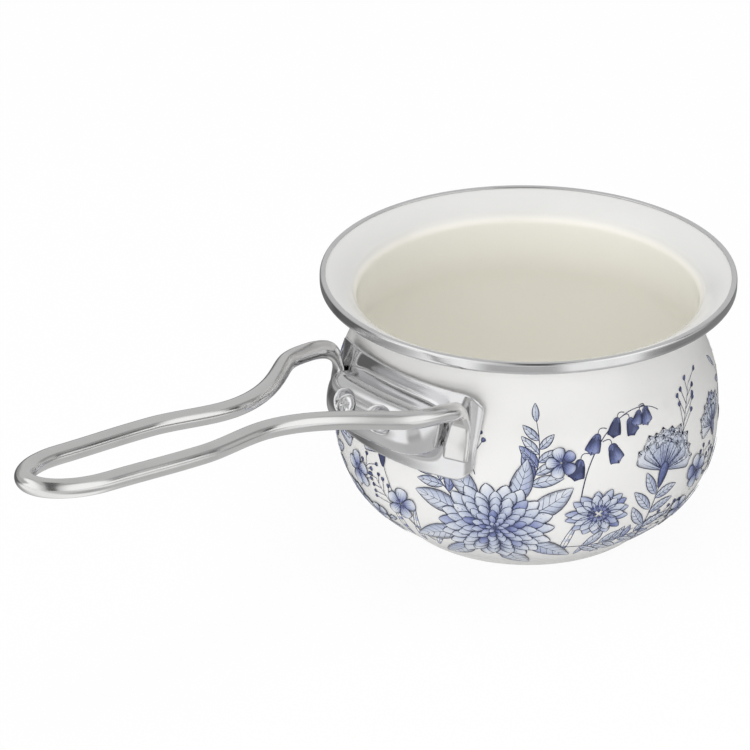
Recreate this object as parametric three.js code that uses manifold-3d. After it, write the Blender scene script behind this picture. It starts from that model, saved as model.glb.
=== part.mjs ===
// Enamelled steel saucepan with a bellied body, a steel rim trim and a bent rod handle.
// Millimetres, +Z up. The pan stands on z = 0 round the Z axis, and its handle points along -Y.
import * as THREE from 'three';
import { mergeVertices } from 'three/addons/utils/BufferGeometryUtils.js';
import Module from 'manifold-3d';

const wasm = await Module();
wasm.setup();

// Pan body, measured on the outside of the enamel
const PAN_HEIGHT = 109.4; // base to the top of the rim trim
const BASE_RADIUS = 51.2; // where the base and the bowl would meet in a sharp edge
const BASE_ROUND = 4; // length of the rounding to each side of that edge
const BOWL_ANGLE = 51; // degrees, rise of the bowl as it leaves the base
const BELLY_RADIUS = 79.1; // widest part
const BELLY_HEIGHT = 47;
const NECK_RADIUS = 71.2; // narrowest part, under the flare
const NECK_DROP = 11.5; // below the top of the rim
const STEEL_THICKNESS = 0.8;
const ENAMEL_THICKNESS = 0.25; // each coat
const PAN_SIDES = 40; // flats round the body

// How far the curves of the body hold their end directions, as shares of their height
const BOWL_FULLNESS = 0.67;
const FOOT_FULLNESS = 0.16;
const SHOULDER_FULLNESS = 0.67;
const NECK_FULLNESS = 0.58;
const FLARE_FULLNESS = 0.32;

// Rim trim, a steel band rolled over the edge of the flare
const RIM_RADIUS = 85;
const TRIM_WIDTH = 4; // across the top
const TRIM_DEPTH = 4.8; // down the outer face
const TRIM_ROUND = 1.3;
const TRIM_SHEET = 0.5;
const TRIM_CLEARANCE = 0.15; // between the band and the coated edge

// Handle bracket, a pressed plate that follows the pan wall, with a hollow dome in the middle
const BRACKET_DROP = 18.4; // its top edge below the top of the rim
const BRACKET_HEIGHT = 37;
const BRACKET_WIDTH = 81;
const BRACKET_CORNER = 7;
const BRACKET_SHEET = 1.2;
const DOME_DROP = 9.4; // top of the dome below the top edge of the plate
const DOME_HEIGHT = 20;
const DOME_WIDTH = 54;
const DOME_REACH = 14.9; // how far the nose stands out from the belly
const DOME_END_ROUND = 9;

// Fixing screws, their dimples in the dome, and the threaded bosses on the pan wall
const SCREW_SPACING = 19;
const SCREW_RISE = 27; // degrees above level
const DIMPLE_RADIUS = 7;
const DIMPLE_FLOOR_RADIUS = 5.2;
const DIMPLE_DEPTH = 2; // from the nose of the dome to the floor
const HEAD_RADIUS = 4;
const HEAD_HEIGHT = 2.4;
const HEAD_CROWN = 0.8; // share of the head's radius where its crown turns down
const SHANK_RADIUS = 2.4;
const SHANK_LENGTH = 10;
const RECESS_WIDTH = 1.1;
const RECESS_SPAN = 4.6;
const RECESS_DEPTH = 1.4;
const BOSS_RADIUS = 4.6;
const SCREW_SIDES = 20;

// Handle rod, one bent loop with its two ends pressed flat
const ROD_DIAMETER = 7.5;
const ROD_SIDES = 12;
const RUN_STEPS = 18; // along each run of the loop
const TURN_STEPS = 6; // round each half of the tip
const BEND_STEPS = 4;
const LEG_SPACING = 71; // between the flattened ends
const FLAT_WIDTH = 10.5;
const FLAT_THICKNESS = 3.4;
const FLAT_DROP = 30; // lower end of the flats below the top edge of the plate
const FLAT_LENGTH = 14;
const FLAT_SQUARENESS = 0.4; // 1 leaves the flats oval, 0 gives them sharp corners
const ROD_STANDOFF = 1.8; // the round rod's centre, out past the flats
const BEND_RADIUS = 6; // where the legs turn out from the wall
const LOOP_DROP = 4.6; // centre of the rod at that bend, below the top edge of the plate
const LOOP_RISE = 6; // degrees, the loop climbs as it runs out
const SHOULDER_WIDTH = 76; // between rod centres where the legs are widest
const SHOULDER_OUT = 18; // this and each place below are measured outward from the flats
const WAIST_WIDTH = 22.6;
const WAIST_START = 76;
const WAIST_END = 82;
const GRIP_WIDTH = 30.6;
const GRIP_OUT = 120;
const TIP_WIDTH = 28;
const TIP_LENGTH = 14.4; // of the rounded end, along the handle
const HANDLE_REACH = 265.4; // from the pan's axis to the outside of the tip

const FIT_GAP = 0.3; // between pieces that seat on each other
const COAT_GAP = 0.01; // hairline between each enamel coat and the steel under it
const CUT_MARGIN = 20; // how far cutting bodies run past what they cut

const rad = THREE.MathUtils.degToRad;
const wallThickness = STEEL_THICKNESS + 2 * ENAMEL_THICKNESS;
const neckHeight = PAN_HEIGHT - NECK_DROP;
const bracketTop = PAN_HEIGHT - BRACKET_DROP;
const bracketBottom = bracketTop - BRACKET_HEIGHT;

const whiteEnamel = new THREE.MeshStandardMaterial({ color: 0xf1f0ec, roughness: 0.12, metalness: 0 });
const creamEnamel = new THREE.MeshStandardMaterial({ color: 0xe9e5d8, roughness: 0.15, metalness: 0 });
const darkSteel = new THREE.MeshStandardMaterial({ color: 0x6b6e72, roughness: 0.5, metalness: 1 });
const polishedSteel = new THREE.MeshStandardMaterial({ color: 0xc9cacc, roughness: 0.18, metalness: 1 });
const satinSteel = new THREE.MeshStandardMaterial({ color: 0xc2c3c5, roughness: 0.28, metalness: 1 });
const platedSteel = new THREE.MeshStandardMaterial({ color: 0xd6d7d8, roughness: 0.15, metalness: 1 });

// A closed three.js geometry as a solid that can be joined and cut.
function solid(geometry) {
  const bare = geometry.clone();
  bare.deleteAttribute('normal');
  bare.deleteAttribute('uv');
  const merged = mergeVertices(bare);
  return new wasm.Manifold(new wasm.Mesh({
    numProp: 3,
    vertProperties: new Float32Array(merged.attributes.position.array),
    triVerts: new Uint32Array(merged.index.array),
  }));
}

// A joined or cut solid as a three.js geometry again.
function geometryOf(manifold) {
  const mesh = manifold.getMesh();
  const geometry = new THREE.BufferGeometry();
  geometry.setAttribute('position', new THREE.BufferAttribute(mesh.vertProperties, mesh.numProp));
  geometry.setIndex(new THREE.BufferAttribute(mesh.triVerts, 1));
  geometry.computeVertexNormals();
  return geometry;
}

function namedMesh(name, geometry, material) {
  const mesh = new THREE.Mesh(geometry, material);
  mesh.name = name;
  return mesh;
}

// Body turned round the pan's axis from a profile of (radius, height) points that runs
// up the outside and back down the inside.
function turned(profile) {
  return new THREE.LatheGeometry(profile, PAN_SIDES).rotateX(Math.PI / 2);
}

// Points of the outside profile, from the axis out along the base and up to the edge of the
// flare, each with its outward normal.
function outsideProfile() {
  const bowl = rad(BOWL_ANGLE);
  const bowlStart = new THREE.Vector2(
    BASE_RADIUS + BASE_ROUND * Math.cos(bowl), BASE_ROUND * Math.sin(bowl));
  const bowlPull = FOOT_FULLNESS * BELLY_HEIGHT;
  const belly = new THREE.Vector2(BELLY_RADIUS, BELLY_HEIGHT);
  const neck = new THREE.Vector2(NECK_RADIUS, neckHeight);
  const wallRise = neckHeight - BELLY_HEIGHT;
  // The coated edge stops where the band starts to round over.
  const edge = new THREE.Vector2(
    RIM_RADIUS - TRIM_ROUND - TRIM_CLEARANCE,
    PAN_HEIGHT - TRIM_SHEET - TRIM_CLEARANCE - wallThickness);
  const flarePull = FLARE_FULLNESS * NECK_DROP;
  const baseEnd = new THREE.Vector2(BASE_RADIUS - BASE_ROUND, 0);
  const stretches = [
    [1, new THREE.LineCurve(new THREE.Vector2(0, 0), baseEnd)],
    [2, new THREE.QuadraticBezierCurve(baseEnd, new THREE.Vector2(BASE_RADIUS, 0), bowlStart)],
    [5, new THREE.CubicBezierCurve(
      bowlStart,
      new THREE.Vector2(bowlStart.x + bowlPull * Math.cos(bowl), bowlStart.y + bowlPull * Math.sin(bowl)),
      new THREE.Vector2(BELLY_RADIUS, BELLY_HEIGHT * (1 - BOWL_FULLNESS)),
      belly)],
    [6, new THREE.CubicBezierCurve(
      belly,
      new THREE.Vector2(BELLY_RADIUS, BELLY_HEIGHT + SHOULDER_FULLNESS * wallRise),
      new THREE.Vector2(NECK_RADIUS, neckHeight - NECK_FULLNESS * wallRise),
      neck)],
    [4, new THREE.CubicBezierCurve(
      neck,
      new THREE.Vector2(NECK_RADIUS, neckHeight + flarePull),
      new THREE.Vector2(edge.x - flarePull, edge.y),
      edge)],
  ];
  const points = [];
  for (const [steps, curve] of stretches) {
    for (let i = points.length ? 1 : 0; i <= steps; i += 1) {
      const along = curve.getTangent(i / steps);
      points.push({ at: curve.getPoint(i / steps), normal: new THREE.Vector2(along.y, -along.x) });
    }
  }
  return points;
}

const outside = outsideProfile();

// The outside profile moved in through the wall by a depth, or out from it if negative.
function layer(depth, points = outside) {
  return points.map(({ at, normal }) => at.clone().addScaledVector(normal, -depth));
}

// One layer of the pan's wall, between two depths.
function wallLayer(from, to) {
  return turned([...layer(from), ...layer(to).reverse()]);
}

// Outer radius of the pan's wall at a height between the base and the neck.
function wallRadius(height) {
  const above = outside.findIndex(({ at }) => at.y > height);
  const [low, high] = [outside[above - 1].at, outside[above].at];
  return THREE.MathUtils.mapLinear(height, low.y, high.y, low.x, high.x);
}

const wallPoints = outside.filter(({ at }) => at.y > 0 && at.y <= neckHeight);

// Everything inside the pan's wall grown by a distance, for cutting what seats on the wall.
function insideWall(growth) {
  const skin = layer(-growth, wallPoints);
  const [foot] = skin;
  const head = skin.at(-1);
  return solid(turned([new THREE.Vector2(0, foot.y), ...skin, new THREE.Vector2(0, head.y)]));
}

// The band's section is a C, open towards the pan: over the top, down the outside and back under.
function rimTrim() {
  const bendPoints = (inset) => {
    const round = TRIM_ROUND - inset;
    const right = RIM_RADIUS - inset;
    const top = PAN_HEIGHT - inset;
    const bottom = PAN_HEIGHT - TRIM_DEPTH + inset;
    const section = new THREE.Path();
    section.moveTo(RIM_RADIUS - TRIM_WIDTH, bottom);
    section.lineTo(right - round, bottom);
    section.absarc(right - round, bottom + round, round, -Math.PI / 2, 0);
    section.lineTo(right, top - round);
    section.absarc(right - round, top - round, round, 0, Math.PI / 2);
    section.lineTo(RIM_RADIUS - TRIM_WIDTH, top);
    return section.getPoints(1);
  };
  const outer = bendPoints(0);
  const inner = bendPoints(TRIM_SHEET).reverse();
  return turned([...outer, ...inner, outer[0].clone()]);
}

const domeTop = bracketTop - DOME_DROP;
const domeRadius = DOME_HEIGHT / 2;
const domeAxisHeight = domeTop - domeRadius;
const noseReach = BELLY_RADIUS + DOME_REACH;
const domeAxisReach = noseReach - domeRadius;

// Body of the dome, shrunk by a distance: a bar along X with a round nose and rounded ends.
function domeBody(inset) {
  const radius = domeRadius - inset;
  const round = DOME_END_ROUND - inset;
  const section = new THREE.Shape();
  section.moveTo(0, domeAxisHeight - radius);
  section.lineTo(domeAxisReach, domeAxisHeight - radius);
  section.absarc(domeAxisReach, domeAxisHeight, radius, -Math.PI / 2, Math.PI / 2);
  section.lineTo(0, domeAxisHeight + radius);
  const length = DOME_WIDTH - 2 * DOME_END_ROUND;
  const bar = new THREE.ExtrudeGeometry(section, {
    depth: length,
    curveSegments: 8,
    bevelThickness: round,
    bevelSize: round,
    bevelOffset: -round,
    bevelSegments: 4,
  });
  // Section axes are outward and up, and the bar runs along X.
  const place = new THREE.Matrix4().makeBasis(
    new THREE.Vector3(0, -1, 0), new THREE.Vector3(0, 0, 1), new THREE.Vector3(-1, 0, 0));
  return solid(bar.translate(0, 0, -length / 2).applyMatrix4(place));
}

// Frame of a screw: its origin at the dimple's floor on the screw's axis, Z out along the axis.
function screwFrame(side) {
  const rise = rad(SCREW_RISE);
  const out = domeRadius - DIMPLE_DEPTH;
  const frame = new THREE.Group();
  frame.position.set(
    side * SCREW_SPACING / 2,
    -(domeAxisReach + out * Math.cos(rise)),
    domeAxisHeight + out * Math.sin(rise));
  frame.rotation.x = Math.PI / 2 - rise;
  frame.updateMatrix();
  return frame;
}

// A round body on a screw's axis from one height to another.
function onScrewAxis(side, radiusTop, radiusBottom, from, to) {
  const cylinder = new THREE.CylinderGeometry(radiusTop, radiusBottom, to - from, SCREW_SIDES);
  cylinder.rotateX(Math.PI / 2).translate(0, 0, (from + to) / 2);
  return solid(cylinder.applyMatrix4(screwFrame(side).matrix));
}

// A dimple's hollow, grown by the sheet's thickness for the inside of the dome.
function dimple(side, growth) {
  const slope = (DIMPLE_RADIUS - DIMPLE_FLOOR_RADIUS) / DIMPLE_DEPTH;
  const top = CUT_MARGIN;
  const floor = DIMPLE_FLOOR_RADIUS + growth;
  return onScrewAxis(side, floor + slope * (top + growth), floor, -growth, top);
}

// Plate and dome pressed from one sheet, with a hole for each screw.
function handleBracket() {
  const corner = BRACKET_CORNER;
  const half = BRACKET_WIDTH / 2;
  const outline = new THREE.Shape();
  outline.moveTo(half, bracketBottom + corner);
  outline.absarc(half - corner, bracketTop - corner, corner, 0, Math.PI / 2);
  outline.absarc(corner - half, bracketTop - corner, corner, Math.PI / 2, Math.PI);
  outline.absarc(corner - half, bracketBottom + corner, corner, Math.PI, Math.PI * 1.5);
  outline.absarc(half - corner, bracketBottom + corner, corner, Math.PI * 1.5, Math.PI * 2);
  const blank = new THREE.ExtrudeGeometry(outline, {
    depth: noseReach, curveSegments: 5, bevelEnabled: false });
  const wing = solid(blank.rotateX(Math.PI / 2));
  const sheet = insideWall(FIT_GAP + BRACKET_SHEET).intersect(wing);
  let outer = domeBody(0);
  let hollow = domeBody(BRACKET_SHEET);
  for (const side of [-1, 1]) {
    outer = outer.subtract(dimple(side, 0));
    hollow = hollow.subtract(dimple(side, BRACKET_SHEET));
  }
  let bracket = sheet.add(outer).subtract(hollow).subtract(insideWall(FIT_GAP));
  for (const side of [-1, 1]) {
    bracket = bracket.subtract(
      onScrewAxis(side, SHANK_RADIUS + FIT_GAP, SHANK_RADIUS + FIT_GAP, -CUT_MARGIN / 2, CUT_MARGIN));
  }
  return geometryOf(bracket);
}

// Threaded pillar from the pan wall to the underside of a dimple, bored for the screw.
function boss(side) {
  const seat = -(BRACKET_SHEET + FIT_GAP);
  const pillar = onScrewAxis(side, BOSS_RADIUS, BOSS_RADIUS, -(DOME_REACH + CUT_MARGIN), seat);
  const bore = onScrewAxis(
    side, SHANK_RADIUS + FIT_GAP, SHANK_RADIUS + FIT_GAP, -(SHANK_LENGTH + 2 * FIT_GAP), 0);
  return geometryOf(pillar.subtract(bore).subtract(insideWall(FIT_GAP)));
}

// Pan-head screw with a cross recess, standing on its seat with its shank below.
function screw() {
  const headTop = FIT_GAP + HEAD_HEIGHT;
  const profile = new THREE.Path();
  profile.moveTo(0, -SHANK_LENGTH);
  profile.lineTo(SHANK_RADIUS, -SHANK_LENGTH);
  profile.lineTo(SHANK_RADIUS, FIT_GAP);
  profile.lineTo(HEAD_RADIUS, FIT_GAP);
  profile.lineTo(HEAD_RADIUS, FIT_GAP + HEAD_HEIGHT / 2);
  profile.quadraticCurveTo(HEAD_RADIUS * HEAD_CROWN, headTop, 0, headTop);
  let body = solid(new THREE.LatheGeometry(profile.getPoints(4), SCREW_SIDES).rotateX(Math.PI / 2));
  for (const [x, y] of [[RECESS_SPAN, RECESS_WIDTH], [RECESS_WIDTH, RECESS_SPAN]]) {
    const slot = new THREE.BoxGeometry(x, y, 2 * RECESS_DEPTH);
    body = body.subtract(solid(slot.translate(0, 0, headTop)));
  }
  return geometryOf(body);
}

// Skin through a row of rings of points, closed with a flat cap at each end.
function loft(rings) {
  const sides = rings[0].length;
  const index = [];
  for (let i = 0; i + 1 < rings.length; i += 1) {
    for (let j = 0; j < sides; j += 1) {
      const [a, b] = [i * sides + j, i * sides + ((j + 1) % sides)];
      index.push(a, b, b + sides, a, b + sides, a + sides);
    }
  }
  const last = (rings.length - 1) * sides;
  for (let j = 1; j + 1 < sides; j += 1) {
    index.push(0, j + 1, j, last, last + j, last + j + 1);
  }
  const geometry = new THREE.BufferGeometry().setFromPoints(rings.flat());
  geometry.setIndex(index);
  return geometry;
}

const flatBottom = bracketTop - FLAT_DROP;
const flatTop = flatBottom + FLAT_LENGTH;
const loopHeight = bracketTop - LOOP_DROP;
const flatSeat = 2 * FIT_GAP + BRACKET_SHEET + FLAT_THICKNESS / 2;
const legRadius = wallRadius(flatTop) + flatSeat;
const legTurn = Math.asin(LEG_SPACING / 2 / legRadius);
const legReach = legRadius * Math.cos(legTurn);
const tipStart = HANDLE_REACH - ROD_DIAMETER / 2 - TIP_LENGTH - legReach;

// Half the distance between the rod's two runs, at a distance outward from the legs.
function halfWidth(out) {
  const { smoothstep, lerp } = THREE.MathUtils;
  const shoulder = lerp(LEG_SPACING, SHOULDER_WIDTH, smoothstep(out, 0, SHOULDER_OUT));
  const waist = lerp(shoulder, WAIST_WIDTH, smoothstep(out, SHOULDER_OUT, WAIST_START));
  const grip = lerp(waist, GRIP_WIDTH, smoothstep(out, WAIST_END, GRIP_OUT));
  return lerp(grip, TIP_WIDTH, smoothstep(out, GRIP_OUT, tipStart)) / 2;
}

// Stations of the rod from one flattened end to the tip: a centre and how far it is still flat.
function rodStations() {
  const stations = [];
  const onLeg = (radius, height, flat) => stations.push({
    at: new THREE.Vector3(radius * Math.sin(legTurn), -radius * Math.cos(legTurn), height), flat });
  const flatFoot = wallRadius(flatBottom) + flatSeat;
  for (const share of [0, 0.5, 1]) {
    onLeg(THREE.MathUtils.lerp(flatFoot, legRadius, share), flatBottom + share * FLAT_LENGTH, 1);
  }
  const bendStart = loopHeight - BEND_RADIUS;
  onLeg(legRadius + ROD_STANDOFF / 2, (flatTop + bendStart) / 2, 0.5);
  for (let i = 0; i <= BEND_STEPS; i += 1) {
    const turn = i / BEND_STEPS * Math.PI / 2;
    onLeg(legRadius + ROD_STANDOFF + BEND_RADIUS * (1 - Math.cos(turn)),
      bendStart + BEND_RADIUS * Math.sin(turn), 0);
  }
  const climb = Math.tan(rad(LOOP_RISE));
  const inLoop = (half, out) => stations.push({
    at: new THREE.Vector3(half, -(legReach + out), loopHeight + climb * out), flat: 0 });
  for (let i = 0; i < RUN_STEPS; i += 1) {
    const out = THREE.MathUtils.lerp(SHOULDER_OUT, tipStart, i / RUN_STEPS);
    inLoop(halfWidth(out), out);
  }
  for (let i = 0; i <= TURN_STEPS; i += 1) {
    const turn = i / TURN_STEPS * Math.PI / 2;
    inLoop(TIP_WIDTH / 2 * Math.cos(turn), tipStart + TIP_LENGTH * Math.sin(turn));
  }
  return stations;
}

// The rod's skin: half of the loop as rings from a flat end to the tip, then its mirror image.
function handleRod() {
  const stations = rodStations();
  const last = stations.length - 1;
  const width = new THREE.Vector3(Math.cos(legTurn), Math.sin(legTurn), 0);
  const half = stations.map(({ at, flat }, i) => {
    const before = stations[Math.max(i - 1, 0)].at;
    const after = stations[Math.min(i + 1, last)].at;
    const along = i === last ? new THREE.Vector3(-1, 0, 0) : after.clone().sub(before).normalize();
    width.addScaledVector(along, -width.dot(along)).normalize();
    const depth = along.clone().cross(width);
    const across = THREE.MathUtils.lerp(ROD_DIAMETER, FLAT_WIDTH, flat) / 2;
    const through = THREE.MathUtils.lerp(ROD_DIAMETER, FLAT_THICKNESS, flat) / 2;
    const squareness = THREE.MathUtils.lerp(1, FLAT_SQUARENESS, flat);
    const bulge = (x) => Math.sign(x) * Math.abs(x) ** squareness;
    return Array.from({ length: ROD_SIDES }, (_, j) => {
      const turn = (j + 0.5) / ROD_SIDES * 2 * Math.PI;
      return at.clone()
        .addScaledVector(width, across * bulge(Math.cos(turn)))
        .addScaledVector(depth, through * bulge(Math.sin(turn)));
    });
  });
  const mirrored = half.slice(0, -1).reverse().map(
    (ring) => ring.map((point) => new THREE.Vector3(-point.x, point.y, point.z)));
  const loop = solid(loft([...half, ...mirrored]));
  return geometryOf(loop.subtract(insideWall(2 * FIT_GAP + BRACKET_SHEET)));
}

const body = new THREE.Group();
const steelDepth = ENAMEL_THICKNESS + STEEL_THICKNESS;
body.add(
  namedMesh('outer_enamel', wallLayer(0, ENAMEL_THICKNESS - COAT_GAP), whiteEnamel),
  namedMesh('steel_shell', wallLayer(ENAMEL_THICKNESS, steelDepth), darkSteel),
  namedMesh('inner_enamel', wallLayer(steelDepth + COAT_GAP, wallThickness), creamEnamel),
  namedMesh('rim_trim', rimTrim(), polishedSteel),
);

const handle = new THREE.Group();
handle.add(
  namedMesh('handle_bracket', handleBracket(), polishedSteel),
  namedMesh('handle_rod', handleRod(), satinSteel),
);
for (const [side, word] of [[-1, 'left'], [1, 'right']]) {
  handle.add(namedMesh(`screw_boss_${word}`, boss(side), darkSteel));
  const seat = screwFrame(side);
  seat.add(namedMesh(`screw_${word}`, screw(), platedSteel));
  handle.add(seat);
}

const saucepan = new THREE.Group();
saucepan.add(body, handle);

export default saucepan;
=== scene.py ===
"""Looks of a bellied enamel saucepan: its enamel, flower print, steel rim, bracket, screws and rod handle.

Sizes are in millimetres in the part's frame: the origin is the centre of the base, +Z is up and the handle
runs along -Y. Meshes are made in metres, with their place in their points.
"""

from __future__ import annotations

import logging
import math
from collections.abc import Mapping, Sequence
from dataclasses import dataclass, field
from enum import Enum

import bpy
import numpy as np
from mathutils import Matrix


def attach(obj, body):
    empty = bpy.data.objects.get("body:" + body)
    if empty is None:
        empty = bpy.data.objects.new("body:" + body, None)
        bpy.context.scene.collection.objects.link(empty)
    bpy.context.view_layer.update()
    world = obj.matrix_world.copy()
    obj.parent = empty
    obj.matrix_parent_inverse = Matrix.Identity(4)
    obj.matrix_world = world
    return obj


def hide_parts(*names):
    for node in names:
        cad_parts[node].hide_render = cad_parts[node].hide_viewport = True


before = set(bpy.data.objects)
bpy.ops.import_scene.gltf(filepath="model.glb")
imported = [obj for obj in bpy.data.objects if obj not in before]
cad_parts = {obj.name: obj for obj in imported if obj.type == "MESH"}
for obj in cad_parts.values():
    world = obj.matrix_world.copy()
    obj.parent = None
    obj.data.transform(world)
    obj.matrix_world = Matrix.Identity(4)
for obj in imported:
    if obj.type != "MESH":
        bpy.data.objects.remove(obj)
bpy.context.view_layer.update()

log = logging.getLogger("saucepan")
Array = np.ndarray
Pair = tuple[float, float]
Triple = tuple[float, float, float]
Colour = Triple
MM = 0.001
BODY = "root"
GLAZE_IOR = 1.5


def smoothstep(low: float, high: float, value: Array) -> Array:
    """Smooth ramp from 0 at low to 1 at high, t * t * (3 - 2 t) of the clamped share t."""
    share = np.clip((value - low) / (high - low), 0.0, 1.0)
    return share * share * (3.0 - 2.0 * share)


def unit(vectors: Array) -> Array:
    """Vectors of the last axis at length one."""
    return vectors / np.maximum(np.linalg.norm(vectors, axis=-1, keepdims=True), 1e-12)


def bezier(controls: Sequence[Pair], count: int) -> Array:
    """Bezier curve by its Bernstein sum, without its first point.

    Args:
        controls: Control points in the plane.
        count: Number of points.

    Returns:
        Points of shape (count, 2).
    """
    share = np.linspace(0.0, 1.0, count + 1)[1:, None]
    order = len(controls) - 1
    terms = [
        math.comb(order, i) * share**i * (1.0 - share) ** (order - i) * np.array(point, float)
        for i, point in enumerate(controls)
    ]
    return np.sum(terms, axis=0)


def smooth_curve(points: Array, count: int) -> Array:
    """Cubic curve through points, each span a Hermite cubic with the neighbours' difference as its slope.

    Args:
        points: Points of shape (n, dimensions).
        count: Number of points on the whole curve.

    Returns:
        Points of shape (count, dimensions).
    """
    slopes = np.gradient(points, axis=0)
    place = np.linspace(0.0, len(points) - 1.0, count)
    span = np.minimum(place.astype(int), len(points) - 2)
    t = (place - span)[:, None]
    start, end = points[span], points[span + 1]
    leave, arrive = slopes[span], slopes[span + 1]
    return (
        (2 * t**3 - 3 * t**2 + 1) * start + (t**3 - 2 * t**2 + t) * leave
        + (3 * t**2 - 2 * t**3) * end + (t**3 - t**2) * arrive
    )


def lengths_along(points: Array) -> Array:
    """Distance along a line of points from its first point."""
    steps = np.linalg.norm(np.diff(points, axis=0), axis=1)
    return np.concatenate([[0.0], np.cumsum(steps)])


def even_steps(points: Array, count: int) -> Array:
    """A line of points again, at equal distances along it.

    Args:
        points: Points of shape (n, dimensions).
        count: Number of points wanted.

    Returns:
        Points of shape (count, dimensions).
    """
    along = lengths_along(points)
    wanted = np.linspace(0.0, along[-1], count)
    return np.stack([np.interp(wanted, along, axis) for axis in points.T], axis=-1)


def circle_steps(count: int, offset: float = 0.0) -> Array:
    """Even steps round a circle in radians, moved on by a share of a step."""
    return (np.arange(count) + offset) / count * 2.0 * math.pi


def spokes(turn: Array, squash: float = 1.0) -> Array:
    """Directions in the plane at turns, squashed upright: (cos a, s sin a)."""
    return np.stack([np.cos(turn), squash * np.sin(turn)], axis=-1)


def blurred(values: Array, spread: float, axis: int) -> Array:
    """Values smoothed along an axis by a bell-shaped weight, with the ends carried on straight.

    Args:
        values: Any array.
        spread: Standard deviation of the weight, in steps of the axis.
        axis: The axis to smooth along.

    Returns:
        An array of the same shape.
    """
    reach = max(1, math.ceil(3.0 * spread))
    moved = np.moveaxis(values, axis, 0)
    count = len(moved)
    ramp = np.arange(1, reach + 1).reshape(-1, *[1] * (moved.ndim - 1))
    before = moved[0] - ramp[::-1] * (moved[1] - moved[0])
    after = moved[-1] + ramp * (moved[-1] - moved[-2])
    padded = np.concatenate([before, moved, after])
    weights = np.exp(-0.5 * (np.arange(-reach, reach + 1) / spread) ** 2)
    weights /= weights.sum()
    total = sum(weight * padded[i:i + count] for i, weight in enumerate(weights))
    return np.moveaxis(total, 0, axis)


def grid_quads(rows: int, columns: int, wrap_rows: bool = False, wrap_columns: bool = False) -> Array:
    """Quads of a grid of points that is stored row by row.

    Args:
        rows: Number of rows.
        columns: Number of columns.
        wrap_rows: Whether the last row joins the first.
        wrap_columns: Whether the last column joins the first.

    Returns:
        Point numbers of shape (quads, 4).
    """
    row = np.arange(rows if wrap_rows else rows - 1)[:, None]
    column = np.arange(columns if wrap_columns else columns - 1)[None, :]
    below, above = row * columns, (row + 1) % rows * columns
    right = (column + 1) % columns
    corners = np.broadcast_arrays(below + column, below + right, above + right, above + column)
    return np.stack(corners, axis=-1).reshape(-1, 4)


@dataclass
class Skin:
    """A surface: points in millimetres, its quads and triangles, and values that its finish reads."""

    points: Array
    quads: Array
    triangles: Array = field(default_factory=lambda: np.zeros((0, 3), int))
    grain: Array | None = None
    tone: Array | None = None

    @classmethod
    def joined(cls, skins: Sequence[Skin]) -> Skin:
        """Several skins of the same kind as one.

        Args:
            skins: The skins, all with or all without grain, and the same for tone.

        Returns:
            One skin with all their points and faces.
        """
        starts = np.cumsum([0] + [len(skin.points) for skin in skins[:-1]])
        return cls(
            np.concatenate([skin.points for skin in skins]),
            np.concatenate([skin.quads + start for skin, start in zip(skins, starts)]),
            np.concatenate([skin.triangles + start for skin, start in zip(skins, starts)]),
            None if skins[0].grain is None else np.concatenate([skin.grain for skin in skins]),
            None if skins[0].tone is None else np.concatenate([skin.tone for skin in skins]),
        )

    def mesh(self, name: str) -> bpy.types.Mesh:
        """A smooth Blender mesh in metres, with the grain and tone as point attributes.

        Args:
            name: Name of the mesh.

        Returns:
            The new mesh.
        """
        made = bpy.data.meshes.new(name)
        made.from_pydata((self.points * MM).tolist(), [], self.quads.tolist() + self.triangles.tolist())
        made.polygons.foreach_set("use_smooth", np.ones(len(made.polygons), bool))
        if self.grain is not None:
            lines = made.attributes.new("grain", "FLOAT_VECTOR", "POINT")
            lines.data.foreach_set("vector", (self.grain * MM).astype(np.float32).ravel())
        if self.tone is not None:
            shades = made.attributes.new("tone", "FLOAT", "POINT")
            shades.data.foreach_set("value", self.tone.astype(np.float32).ravel())
        made.validate()
        made.update()
        return made


def turned(section: Array, sides: int) -> Array:
    """A section of (radius, height) carried round Z: (r cos a, r sin a, z).

    Args:
        section: Points of the section.
        sides: Steps round the axis.

    Returns:
        Points of shape (section, sides, 3).
    """
    turn = circle_steps(sides)
    radius, height = section[:, :1], section[:, 1:]
    return np.stack(np.broadcast_arrays(radius * np.cos(turn), radius * np.sin(turn), height), axis=-1)


def capped(rings: Array, poles: Array) -> tuple[Array, Array, Array]:
    """Rings of points joined up and closed by a fan of triangles to a pole at each end.

    Args:
        rings: Points of shape (rings, sides, 3).
        poles: The poles of the first and the last ring, of shape (2, 3).

    Returns:
        All the points, the quads between the rings and the triangles of the fans.
    """
    count, sides = rings.shape[:2]
    around = np.arange(sides)
    after = (around + 1) % sides
    last = (count - 1) * sides
    pole = np.full(sides, count * sides)
    fans = [np.stack([pole, after, around], 1), np.stack([pole + 1, last + around, last + after], 1)]
    points = np.concatenate([rings.reshape(-1, 3), poles])
    return points, grid_quads(count, sides, wrap_columns=True), np.concatenate(fans)


def turned_loop(section: Array, sides: int) -> Skin:
    """A closed section of (radius, height) carried round Z.

    Args:
        section: Points of the section, up the outside and down the inside.
        sides: Steps round the axis.

    Returns:
        A closed ring, with grain running round it.
    """
    points = turned(section, sides)
    across = lengths_along(section)[:, None] * np.ones(sides)
    grain = np.stack([points[..., 0], points[..., 1], across], axis=-1)
    quads = grid_quads(len(section), sides, wrap_rows=True, wrap_columns=True)
    return Skin(points.reshape(-1, 3), quads, grain=grain.reshape(-1, 3))


def turned_shell(section: Array, sides: int) -> Skin:
    """A section that starts and ends on the Z axis carried round it, with a fan at each pole.

    Args:
        section: Points of (radius, height), the first and last on the axis.
        sides: Steps round the axis.

    Returns:
        A closed shell.
    """
    poles = np.array([[0.0, 0.0, section[0, 1]], [0.0, 0.0, section[-1, 1]]])
    return Skin(*capped(turned(section[1:-1], sides), poles))


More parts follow.
